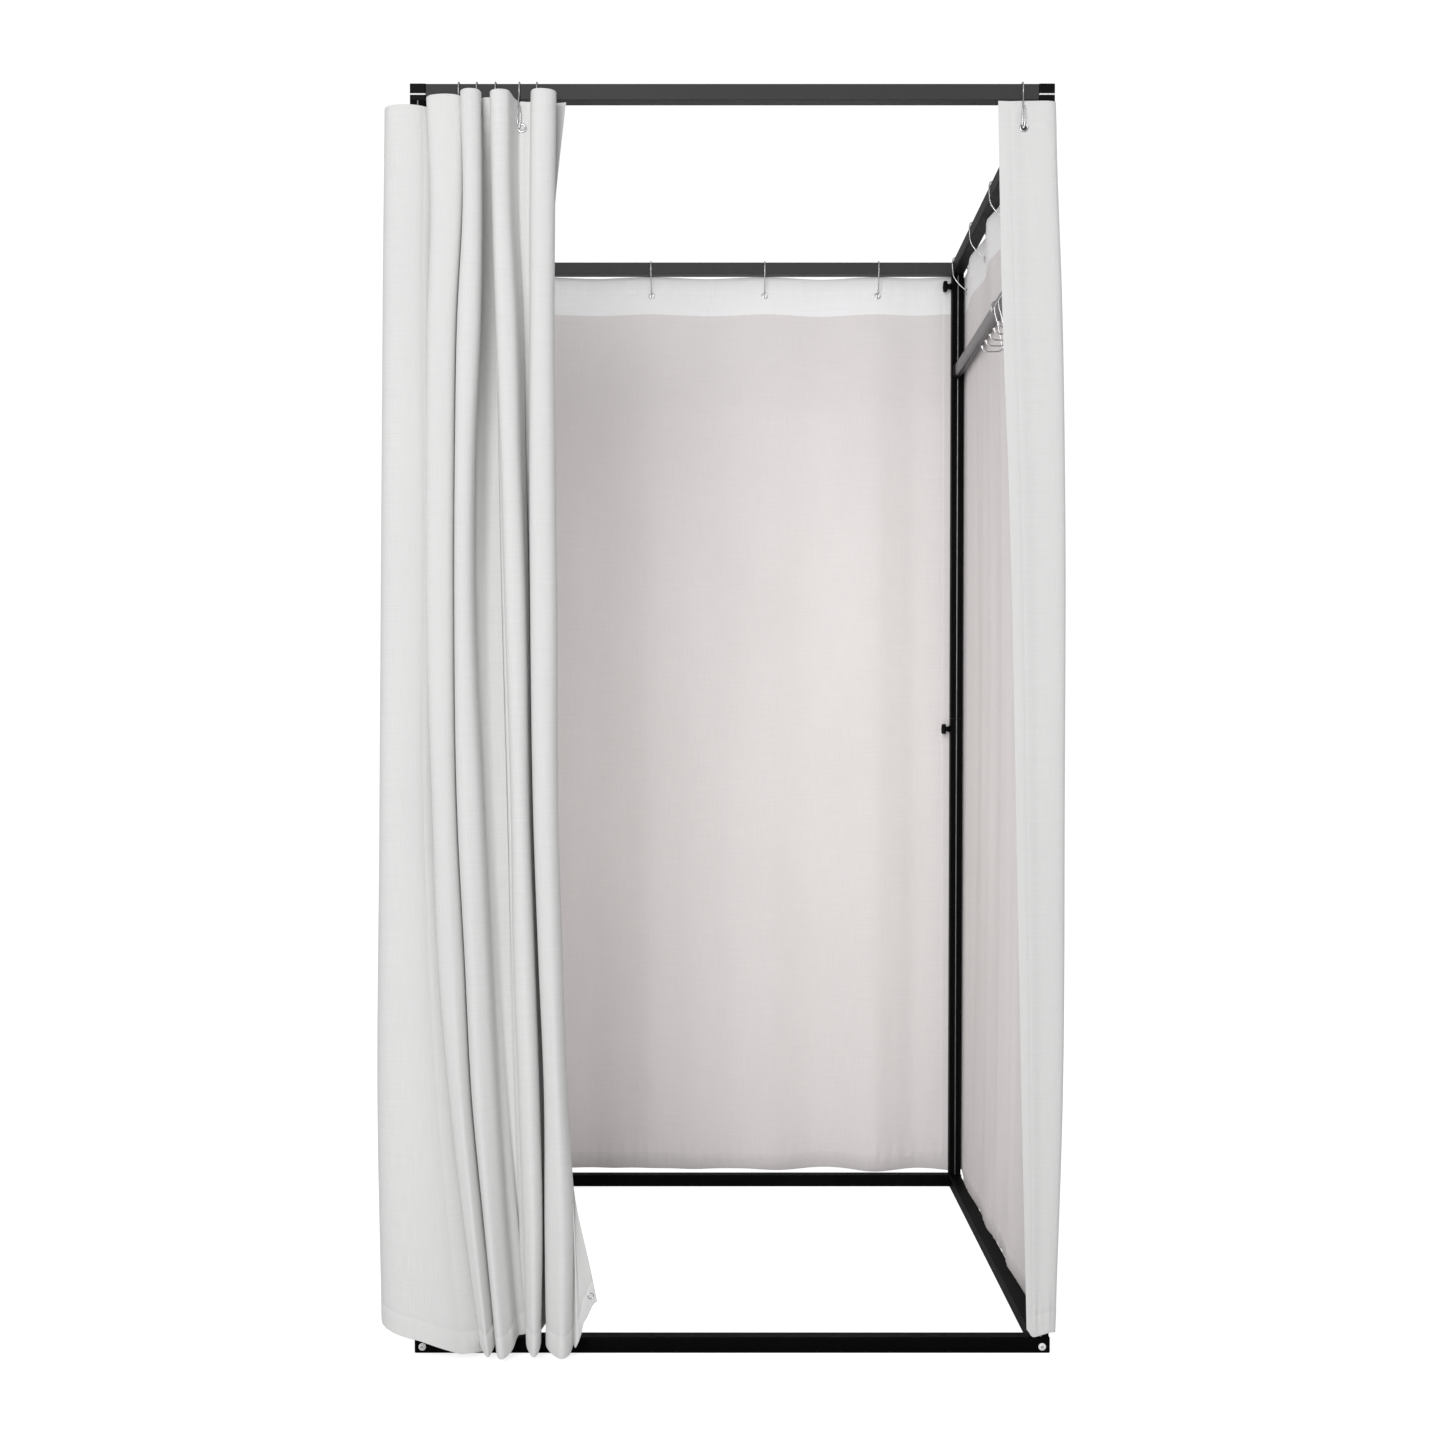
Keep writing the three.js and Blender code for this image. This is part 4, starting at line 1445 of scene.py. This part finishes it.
@dataclass
class SideCurtains:
    """The rear, right and left curtains, which stay where they hang."""

    hooks: CurtainHooks
    eyelets: Eyelets
    flat_width: float = 1.10
    flat_length: float = 1.95

    def bowed(self, stops: Sequence[float], swell: Sequence[float]) -> list[tuple[float, float]]:
        """A line along a rail: out by 0 at each stop, by swell halfway and by half of it at the quarters.

        Args:
            stops: Places along the rail.
            swell: How far out the cloth is between each two stops.

        Returns:
            Each place and how far out the cloth is there.
        """
        line = [(stops[0], 0.0)]
        for a, b, out in zip(stops, stops[1:], swell):
            line += [(a + 0.25 * (b - a), 0.5 * out), ((a + b) / 2, out), (a + 0.75 * (b - a), 0.5 * out),
                     (b, 0.0)]
        return line

    def dipped(self, cloth_stops: Sequence[float], dip: Sequence[float]) -> Callable[[Array], Array]:
        """How far the top edge hangs below the hooks: dip * sin^2 between each two stops.

        Args:
            cloth_stops: The stops, in metres across.
            dip: How far it hangs halfway between each two.

        Returns:
            The shift of the top edge at each place across.
        """
        stops = np.array(cloth_stops)
        depth = np.array(dip)

        def shift(across: Array) -> Array:
            """The shift at metres across."""
            i = np.clip(np.searchsorted(stops, across) - 1, 0, len(stops) - 2)
            t = np.clip((across - stops[i]) / (stops[i + 1] - stops[i]), 0, 1)
            return -depth[i] * np.sin(np.pi * t) ** 2

        return shift

    def finish(self, cloth: Cloth, node: str, flat: tuple[float, float], dips: Sequence[float],
               droop: float = 0, lift: float = 0) -> None:
        """Args:
            cloth: The sheet.
            node: The CAD node.
            flat: The finished flat size; not used.
            dips: How far the top edge hangs between each two stops.
            droop: How far the last edge falls beyond the last eyelet.
            lift: How far the whole top edge rises.
        """
        stops = [0, *cloth.eyelet_across, cloth.width]
        between = self.dipped(stops, dips)
        cloth.top_shift = lambda across: (
            lift + between(across) - droop * ease((across - stops[-2] - 0.05) / 0.15))
        sheet = cloth.build(cloth_finishes(cloth.length, cloth.header))
        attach(sheet, ROOT)
        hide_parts(node)
        rings = Solid()
        for across in cloth.eyelet_across:
            self.eyelets.add(rings, *cloth.frame_at(across, PLACES.eyelet_drop))
        ring_piece = make_piece(f"{node}_eyelets", rings, BRIGHT_WIRE)

    def build_rear(self) -> None:
        """The rear curtain, from the right post to just past the left one, seen from outside."""
        stops = [0.478, 0.318, 0.075, -0.168, -0.411, -0.500]
        y = PLACES.cloth_y
        swells = ((4, 7, 6, 8, 3), (8, 12, 9, 13, 4), (12, 17, 11, 18, 6), (14, 20, 13, 22, 7))
        control = np.array([
            [(x, y + out) for x, out in self.bowed(stops, [MM * s for s in row])] for row in swells])
        cloth = Cloth("rear_curtain_sheet", np.array([0, 0.25, 1.1, 1.93]), control,
                      PLACES.cloth_top - PLACES.cloth_bottom, eyelets=(4, 8, 12, 16),
                      ripple=waves(3, (0.31, 0.17, 0.093), 3.2 * MM, 0.02),
                      pucker=1.3 * MM, hem_shift=lambda across: (
                          3 * MM * ease(across / 0.8) + 2 * MM * np.sin(31 * across)))
        self.finish(cloth, "rear_curtain", (self.flat_width, self.flat_length),
                    [2 * MM, 4 * MM, 3 * MM, 2 * MM, 2 * MM], lift=4.5 * MM)
        for k, x in enumerate((0.318, 0.075, -0.168, -0.411)):
            node = {0.318: "rear_hook_3", 0.075: "rear_hook_2", -0.168: "rear_hook_1"}.get(x)
            self.hooks.build_one(f"rear_curtain_hook_{k + 1}", Side.REAR, x, ROOT, [node] if node else [])

    def build_right(self) -> None:
        """The right curtain: its return across the front corner, the corner, then the side."""
        y, x = -PLACES.cloth_y, PLACES.cloth_x
        left_edge = (0.411, 0.4125, 0.418, 0.431, 0.443, 0.454, 0.464)
        corner = (0.497, 0.499, 0.509, 0.516, 0.518, 0.518, 0.508)
        depths = np.array([0, 0.07, 0.30, 0.62, 1.08, 1.55, 1.93])
        bows = ((-4, -13, -15, -11, 0), (-2, -9, -11, -8, 1), (0, -3, -2, 0, 1), (2, 4, 6, 5, 2),
                (4, 7, 9, 7, 3), (2, 0, 2, 1, 2), (0, -9, -10, -8, 0))
        rows = []
        for left, right, swell in zip(left_edge, corner, bows):
            side = self.bowed([-0.452, -0.278, -0.035, 0.208, 0.451, 0.496], [MM * s for s in swell])
            width = right - left
            front = [(left, y), (left + 0.25 * width, y - 1.5 * MM), (left + 0.455 * width, y),
                     (left + 0.75 * width, y - 1 * MM), (right - 6 * MM, y - 1 * MM)]
            turn = [(right + 3 * MM, y + 2.5 * MM), (right + 4.5 * MM, y + 12 * MM),
                    (x + 2 * MM + 0.5 * (right - 0.498), y + 30 * MM)]
            rows.append(front + turn + [(x + out, place) for place, out in side])
        cloth = Cloth("right_curtain_sheet", depths, np.array(rows),
                      PLACES.cloth_top - PLACES.cloth_bottom, eyelets=(2, 12, 16, 20, 24),
                      column_step=6.5 * MM, pucker=1.1 * MM,
                      ripple=waves(11, (0.23, 0.13, 0.071), 1.7 * MM, 0.015), hem_shift=self.right_hem)
        self.finish(cloth, "right_curtain", (self.flat_width, self.flat_length), [1 * MM] * 6)
        hooks = (
            (0.451, ["right_hook_1"]), (0.208, ["right_hook_2"]), (-0.035, ["right_hook_3"]), (-0.278, []))
        for k, (place, nodes) in enumerate(hooks):
            self.hooks.build_one(f"right_curtain_hook_{k + 1}", Side.RIGHT, place, ROOT, nodes)
        self.hooks.build_one("right_curtain_return_hook", Side.FRONT, 0.450, ROOT, ["return_hook"])

    @staticmethod
    def right_hem(across: Array) -> Array:
        """The hem's rise: sines of a few millimetres along the side, and a round corner on the front.

        Args:
            across: Metres across, from the front edge.

        Returns:
            How far the hem rises at each place.
        """
        side = ease((across - 0.10) / 0.1)
        rugged = (1.5 * np.sin(14 * across) + 1.6 * np.sin(53 * across + 1) + 1.6 * np.sin(141 * across)
                  + 1.0 * np.sin(217 * across + 2))
        rounded = 9 * ease(1 - across / 0.018) - 3 * np.sin(60 * across) + 3
        rear = ease((across - 1.00) / 0.08)
        return MM * (side * (8 * rear - 5 + rugged) + (1 - side) * rounded)

    def build_left(self) -> None:
        """The left curtain: the side from the rear, then a broad fold round the front corner."""
        x, y = -PLACES.cloth_x, -PLACES.cloth_y
        depths = np.array([0, 0.07, 0.26, 0.66, 1.11, 1.55, 1.93])
        bows = ((0, -11, -14, -12), (1, -8, -10, -8), (3, 6, 8, 6), (5, 20, 22, 18), (6, 26, 26, 22),
                (7, 24, 27, 24), (8, 23, 26, 24))
        outer = (33, 34, 36, 41, 47, 53, 48)
        reach = (-0.462, -0.460, -0.461, -0.459, -0.460, -0.434, -0.388)
        front = (28, 28, 31, 34, 38, 46, 56)
        rows = []
        for swell, out, end, forward in zip(bows, outer, reach, front):
            side = self.bowed([0.496, 0.451, 0.208, -0.035, -0.278], [MM * s for s in swell])
            bulge, ahead = x - out * MM, y - forward * MM
            wide = end - bulge
            fold = [
                (x - 0.55 * out * MM, -0.360), (x - 0.93 * out * MM, -0.435),
                (bulge, y - 0.12 * forward * MM), (bulge + 0.05 * wide, y - 0.62 * forward * MM),
                (bulge + 0.20 * wide, y - 0.93 * forward * MM),
                (bulge + 0.44 * wide, ahead), (bulge + 0.70 * wide, y - 0.86 * forward * MM),
                (bulge + 0.90 * wide, y - 0.52 * forward * MM), (end, y - 0.20 * forward * MM - 2 * MM),
            ]
            rows.append([(x - out_, place) for place, out_ in side] + fold)
        cloth = Cloth("left_curtain_sheet", depths, np.array(rows),
                      PLACES.cloth_top - PLACES.cloth_bottom, eyelets=(4, 8, 12, 16),
                      column_step=6.5 * MM, ripple=waves(5, (0.27, 0.15, 0.08), 2.2 * MM, -0.01))
        from_end = np.array([0, 0.02, 0.05, 0.10, 0.17, 0.30, 0.45])
        raised = np.array([-20, -14, 14, 40, 46, 28, 6]) * MM
        cloth.hem_shift = lambda across: (
            np.interp(cloth.width - across, from_end, raised) + 1.5 * MM * np.sin(41 * across))
        self.finish(cloth, "left_curtain", (self.flat_width, self.flat_length),
                    [1 * MM, 1 * MM, 1 * MM, 1 * MM, 2 * MM], 15 * MM)
        for k, place in enumerate((0.451, 0.208, -0.035, -0.278)):
            self.hooks.build_one(f"left_curtain_hook_{k + 1}", Side.LEFT, place)

    def build(self) -> None:
        """Makes the three curtains with their hooks."""
        self.build_rear()
        self.build_right()
        self.build_left()


@dataclass(frozen=True)
class Pleat:
    """One forward fold of the gathered door curtain.

    Its left and right edges, as seen from the front, are given in millimetres at the door curtain's
    depths. A curl is how far behind its own edge the cloth turns back, at the top and at the hem. The
    peak is where across the fold it comes furthest forward at the hem, from 0 at its left to 1.
    """

    left: tuple[float, ...]
    right: tuple[float, ...]
    front: tuple[float, float]
    curl_left: tuple[float, float]
    curl_right: tuple[float, float]
    peak: float

    def outline(self, k: int, part: float, back: float) -> list[tuple[float, float]]:
        """Plan points of the fold.

        Args:
            k: Which of the door curtain's depths.
            part: 0 at the top and 1 at the hem.
            back: Y of the hook line, in millimetres.

        Returns:
            Ten points from the left neck over the front to the right neck. Towards the hem the round
            front turns into a ridge at the peak.
        """
        left, right = self.left[k], self.right[k]
        wide = right - left
        front = self.front[0] + part * (self.front[1] - self.front[0])
        curl_l = self.curl_left[0] + part * (self.curl_left[1] - self.curl_left[0])
        curl_r = self.curl_right[0] + part * (self.curl_right[1] - self.curl_right[0])
        deep = front - back
        ridge = max(0.0, part - 0.45) / 0.55
        across = np.array([0, 0.12, 0.36, 0.64, 0.88, 1])
        bend = np.array([0.66, 0.90, 1.0, 0.985, 0.88, 0.64])
        slope = np.where(across < self.peak, across / self.peak, (1 - across) / (1 - self.peak))
        bend = (1 - 0.75 * ridge) * bend + 0.75 * ridge * (0.35 + 0.65 * slope ** 0.8)
        return [
            (left + curl_l, back), (left + 0.35 * curl_l, back + 0.55 * bend[0] * deep),
            *[(left + a * wide, back + b * deep) for a, b in zip(across, bend)],
            (right - 0.35 * curl_r, back + 0.53 * bend[-1] * deep), (right - curl_r, back),
        ]


@dataclass
class DoorCurtain:
    """The door curtain, drawn back to the left: four forward folds on five hooks, and a loose end."""

    hooks: CurtainHooks
    eyelets: Eyelets
    depths: tuple[float, ...] = (0, 0.165, 0.347, 0.545, 0.774, 1.112, 1.328, 1.545, 1.747, 1.945)
    flat: tuple[float, float] = (1.10, 1.95)
    start_x: float = -0.470
    deep: float = 95
    rail_lift: float = 19 * MM
    end_lift: float = 80 * MM
    second: Pleat = Pleat((-469, -463, -469, -472, -473, -464, -457, -440, -419, -394),
                          (-414, -414, -424, -428, -430, -427, -417, -407, -389, -370),
                          (-541, -553), (9, 3), (8, 2), 0.68)
    third: Pleat = Pleat((-416, -412, -421, -425, -427, -424, -414, -404, -386, -368),
                         (-385, -384, -387, -396, -398, -386, -377, -367, -355, -340),
                         (-548, -560), (12, 4), (11, -6), 0.30)
    fourth: Pleat = Pleat((-371, -368, -363, -357, -351, -342, -340, -333, -327, -322),
                          (-340, -339, -331, -327, -320, -315, -308, -301, -297, -300),
                          (-546, -555), (8, -2), (-9, 6), 0.76)
    fifth: Pleat = Pleat((-308, -311, -312, -313, -312, -308, -301, -293, -293, -292),
                         (-270, -272, -274, -273, -271, -270, -264, -257, -246, -248),
                         (-549, -560), (-3, 5), (12, 4), 0.74)
    tail: tuple[float, ...] = (-258, -276, -284, -287, -286, -284, -276, -259, -246, -211)
    valley: tuple[float, ...] = (-14, 24, 34, 24, 12, 8, 10, 14, 18, 20)
    lean: float = 0.0405

    def hook_places(self) -> list[float]:
        """X of each door hook, read from its node."""
        boxes = [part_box(f"door_hook_{k}") for k in range(1, 6)]
        return [(low.x + high.x) / 2 for low, high in boxes]

    def row(self, k: int) -> tuple[list[tuple[float, float]], list[int]]:
        """The plan line at one depth.

        Between folds the cloth goes back through an eyelet's place and round an inner loop.

        Args:
            k: Which depth.

        Returns:
            The control points in millimetres, and which of them are the eyelets'.
        """
        back = -PLACES.cloth_y / MM
        part = k / (len(self.depths) - 1)
        loose = float(ease(np.array((k - 0.4) / (len(self.depths) - 2))))
        hooks = [x / MM for x in self.hook_places()]
        second, third, fourth, fifth = (
            p.outline(k, part, back) for p in (self.second, self.third, self.fourth, self.fifth))

        def swing(hook: int, free: float) -> float:
            """An eye's place: under its hook at the top, and free further down."""
            return hooks[hook] + (free - hooks[hook]) * loose

        def loop(a: float, b: float, deep: float) -> list[tuple[float, float]]:
            """A round valley behind the folds, from a to b."""
            return [(a, back + 0.45 * deep), (a + 0.2 * (b - a), back + 0.96 * deep),
                    ((a + b) / 2, back + deep), (b - 0.2 * (b - a), back + 0.96 * deep),
                    (b, back + 0.45 * deep)]

        def unrolled(points: list[tuple[float, float]]) -> list[tuple[float, float]]:
            """The loose end's points, which spread towards a straight flap near the hem.

            Args:
                points: The points of the rolled end.

            Returns:
                Each point, moved by its share of the way to the flap.
            """
            free = float(ease(np.array((part - 0.72) / 0.25)))
            edge, end = self.fifth.right[k], self.tail[k]
            share = np.linspace(0, 1, len(points) + 1)[1:]
            return [(x + (edge + t * (end - edge) - x) * free, y + (back - 42 + 16 * t - y) * free)
                    for (x, y), t in zip(points, share)]

        first_eye = swing(0, second[-1][0] + 4)
        second_eye = swing(1, third[-1][0] + 4)
        third_eye = swing(2, fourth[0][0] - 3)
        fourth_eye = swing(3, (fourth[-1][0] + fifth[0][0]) / 2) + 4 * (1 - loose)
        fifth_eye = swing(4, fifth[-1][0] - 6)
        parts = [
            [(second[0][0] - 7, back - 2)] + second, [(first_eye, back)],
            loop(first_eye + 7, third[0][0] - 1, self.deep), third, [(second_eye, back)],
            loop(second_eye + 7, fourth[0][0] - 9 + 6 * (1 - loose), self.valley[k]),
            [(third_eye, back + 0.35 * self.valley[k] * loose)],
            fourth, [(fourth_eye, back + 66 * loose)], fifth[:-2],
            unrolled(fifth[-2:] + [
                (fifth_eye, back), (fifth_eye + 7, back + 7),
                (fifth_eye + 0.6 * (self.tail[k] - fifth_eye), back + 9), (self.tail[k], back + 6)]),
        ]
        marks = [sum(len(p) for p in parts[:i]) for i in (1, 4, 6, 8)]
        marks.append(sum(len(p) for p in parts[:10]) + 2)
        return [point for p in parts for point in p], marks

    def hem(self, cloth: Cloth) -> Callable[[Array], Array]:
        """The hem is lowest at the folds' fronts, clears the rail behind and sweeps up at the loose end.

        Args:
            cloth: The sheet.

        Returns:
            The hem's rise at each place across.
        """
        line = cloth.plan(cloth.fine, np.array([cloth.length]))[0, :, 1]
        front = -PLACES.half_depth - 56 * MM
        lift = self.rail_lift * ease((line - front) / (48 * MM))

        def shift(across: Array) -> Array:
            """The rise at metres across."""
            end = ease((across - (cloth.width - 0.115)) / 0.115)
            return np.maximum(np.interp(across, cloth.run, lift), self.end_lift * end)

        return shift

    def top(self, cloth: Cloth) -> Callable[[Array], Array]:
        """The top edge rises at the folds' fronts, and less at the first fold.

        Args:
            cloth: The sheet.

        Returns:
            The top edge's rise at each place across.
        """
        line = cloth.plan(cloth.fine, np.array([0.0]))[0, :, 1]
        rise = ease((-PLACES.half_depth - 12 * MM - line) / (26 * MM))

        def shift(across: Array) -> Array:
            """The rise at metres across."""
            return (3 * MM * np.interp(across, cloth.run, rise) - 6 * MM * ease((0.175 - across) / 0.05)
                    - 1 * MM * np.sin(40 * across) ** 2)

        return shift

    def build(self) -> None:
        """Makes the sheet, its eyelets and its hooks."""
        rows = [self.row(k) for k in range(len(self.depths))]
        control = np.array([points for points, _ in rows]) * MM
        length = PLACES.cloth_top - PLACES.door_bottom
        cloth = Cloth("door_curtain_sheet", np.array(self.depths), control, length, eyelets=rows[0][1],
                      pierced=False, column_step=3.6 * MM, row_step=22 * MM, pucker=0.35 * MM,
                      ripple=waves(8, (0.19, 0.11), 1.1 * MM, 0.01))
        cloth.top_shift = self.top(cloth)
        cloth.hem_shift = self.hem(cloth)
        sheet = cloth.build(cloth_finishes(length, cloth.header))
        hooks = self.hook_places()
        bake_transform(sheet)
        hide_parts(*[f"door_fold_{k}" for k in range(1, 6)])
        for k, (x, across) in enumerate(zip(hooks, cloth.eyelet_across)):
            body = "door_lead" if k == 4 else f"door_run_{k + 1}"
            ring, cup = Solid(), Solid()
            centre, _ = cloth.frame_at(across, PLACES.eyelet_drop)
            self.eyelets.add(ring, centre, np.array([0, -1.0, 0]))
            self.eyelets.add_cup(cup, centre, np.array([0, -1.0, 0]))
            make_piece(f"door_eyelet_{k + 1}", ring, BRIGHT_WIRE, body)
            make_piece(f"door_eyelet_cup_{k + 1}", cup, SOCKET_STEEL, body)
            self.hooks.build_one(f"door_curtain_hook_{k + 1}", Side.FRONT, x, body, [f"door_hook_{k + 1}"])
        ring = Solid()
        small = Eyelets(3.0 * MM, 5.2 * MM, 1.6 * MM)
        small.add(ring, *cloth.frame_at(cloth.width - 20 * MM, length - 17 * MM))
        make_piece("door_hem_eyelet", ring, BRIGHT_WIRE, "door_lead")


# ---- camera, floor and light --------------------------------------------------------------------------
@dataclass
class Studio:
    """A plain white room: the camera, a floor and soft lights."""

    camera_place: tuple[float, float, float] = (-0.0154, -3.1105, 0.9748)
    camera_pitch: float = -1.501
    lens: float = 41.557
    shift_up: float = 0.0396
    floor_size: float = 30.0
    floor_glow: float = 0.75
    backdrop: float = 1.05
    fill: float = 0.52
    key: float = 112
    key_place: tuple[float, float, float] = (-1.0, -4.8, 2.2)
    key_target: tuple[float, float, float] = (0, 0, 1)
    key_size: tuple[float, float] = (2.0, 2.0)
    doorway: float = 3.9
    doorway_place: tuple[float, float, float] = (0.0, -0.40, 1.0)
    doorway_target: tuple[float, float, float] = (-0.05, 0.5, 1.0)
    doorway_size: tuple[float, float] = (0.66, 1.8)

    def build_camera(self) -> None:
        """The camera, level but for its slight tilt, at the height of the booth's middle."""
        data = bpy.data.cameras.new("booth_camera")
        data.lens = self.lens
        data.sensor_width = 36
        data.shift_y = self.shift_up
        data.clip_end = 100
        camera = bpy.data.objects.new("booth_camera", data)
        camera.location = self.camera_place
        camera.rotation_euler = Euler((math.radians(90 + self.camera_pitch), 0, 0))
        bpy.context.scene.collection.objects.link(camera)
        bpy.context.scene.camera = camera

    def build_floor(self) -> None:
        """A wide pale floor."""
        half = self.floor_size / 2
        points = np.array([[-half, -half, 0], [half, -half, 0], [half, half, 0], [-half, half, 0]])
        floor = make_object("studio_floor", points, [[0, 1, 2, 3]])
        nodes = Nodes("studio_floor_paint")
        nodes.shader.inputs["Base Color"].default_value = (0.70, 0.70, 0.70, 1)
        nodes.shader.inputs["Roughness"].default_value = 0.9
        nodes.shader.inputs["Specular IOR Level"].default_value = 0
        nodes.shader.inputs["Emission Color"].default_value = (1, 1, 1, 1)
        seen = nodes.add("ShaderNodeLightPath").outputs["Is Camera Ray"]
        nodes.join(nodes.math("MULTIPLY", seen, self.floor_glow), nodes.shader.inputs["Emission Strength"])
        floor.data.materials.append(nodes.material)

    def add_light(self, name: str, place: Sequence[float], target: Sequence[float],
                  size: tuple[float, float], power: float) -> None:
        """A rectangular soft light that isn't seen itself.

        Args:
            name: Its name.
            place: Where it stands.
            target: Where it looks.
            size: Its width and height.
            power: Its power in watts.
        """
        data = bpy.data.lights.new(name, "AREA")
        data.shape = "RECTANGLE"
        data.size, data.size_y = size
        data.energy = power
        light = bpy.data.objects.new(name, data)
        light.location = place
        light.visible_camera = False
        aim = Vector(target) - Vector(place)
        light.rotation_euler = aim.to_track_quat("-Z", "Y").to_euler()
        bpy.context.scene.collection.objects.link(light)

    def build_light(self) -> None:
        """White surroundings, a soft key from the left and a faint one in the doorway."""
        world = bpy.data.worlds.new("white_room")
        world.use_nodes = True
        tree = world.node_tree
        seen = tree.nodes["Background"]
        seen.inputs["Color"].default_value = (1, 1, 1, 1)
        seen.inputs["Strength"].default_value = self.backdrop
        fill = tree.nodes.new("ShaderNodeBackground")
        fill.inputs["Color"].default_value = (0.985, 0.99, 1, 1)
        fill.inputs["Strength"].default_value = self.fill
        path = tree.nodes.new("ShaderNodeLightPath")
        mix = tree.nodes.new("ShaderNodeMixShader")
        tree.links.new(path.outputs["Is Camera Ray"], mix.inputs["Fac"])
        tree.links.new(fill.outputs["Background"], mix.inputs[1])
        tree.links.new(seen.outputs["Background"], mix.inputs[2])
        tree.links.new(mix.outputs["Shader"], tree.nodes["World Output"].inputs["Surface"])
        bpy.context.scene.world = world
        bpy.context.scene.view_settings.view_transform = "Standard"
        self.add_light("key_light", self.key_place, self.key_target, self.key_size, self.key)
        self.add_light(
            "doorway_light", self.doorway_place, self.doorway_target, self.doorway_size, self.doorway)

    def build(self) -> None:
        """Makes the camera, the floor and the light."""
        self.build_camera()
        self.build_floor()
        self.build_light()


def main() -> None:
    """Builds the booth's looks piece by piece."""
    logging.basicConfig(level=logging.INFO, format="%(name)s: %(message)s")
    Studio().build()
    FrameDress().build()
    Fasteners().build()
    RodAndRack().build()
    hooks, eyelets = CurtainHooks(), Eyelets()
    SideCurtains(hooks, eyelets).build()
    DoorCurtain(hooks, eyelets).build()
    bpy.context.view_layer.update()


if __name__ == "__main__":
    main()
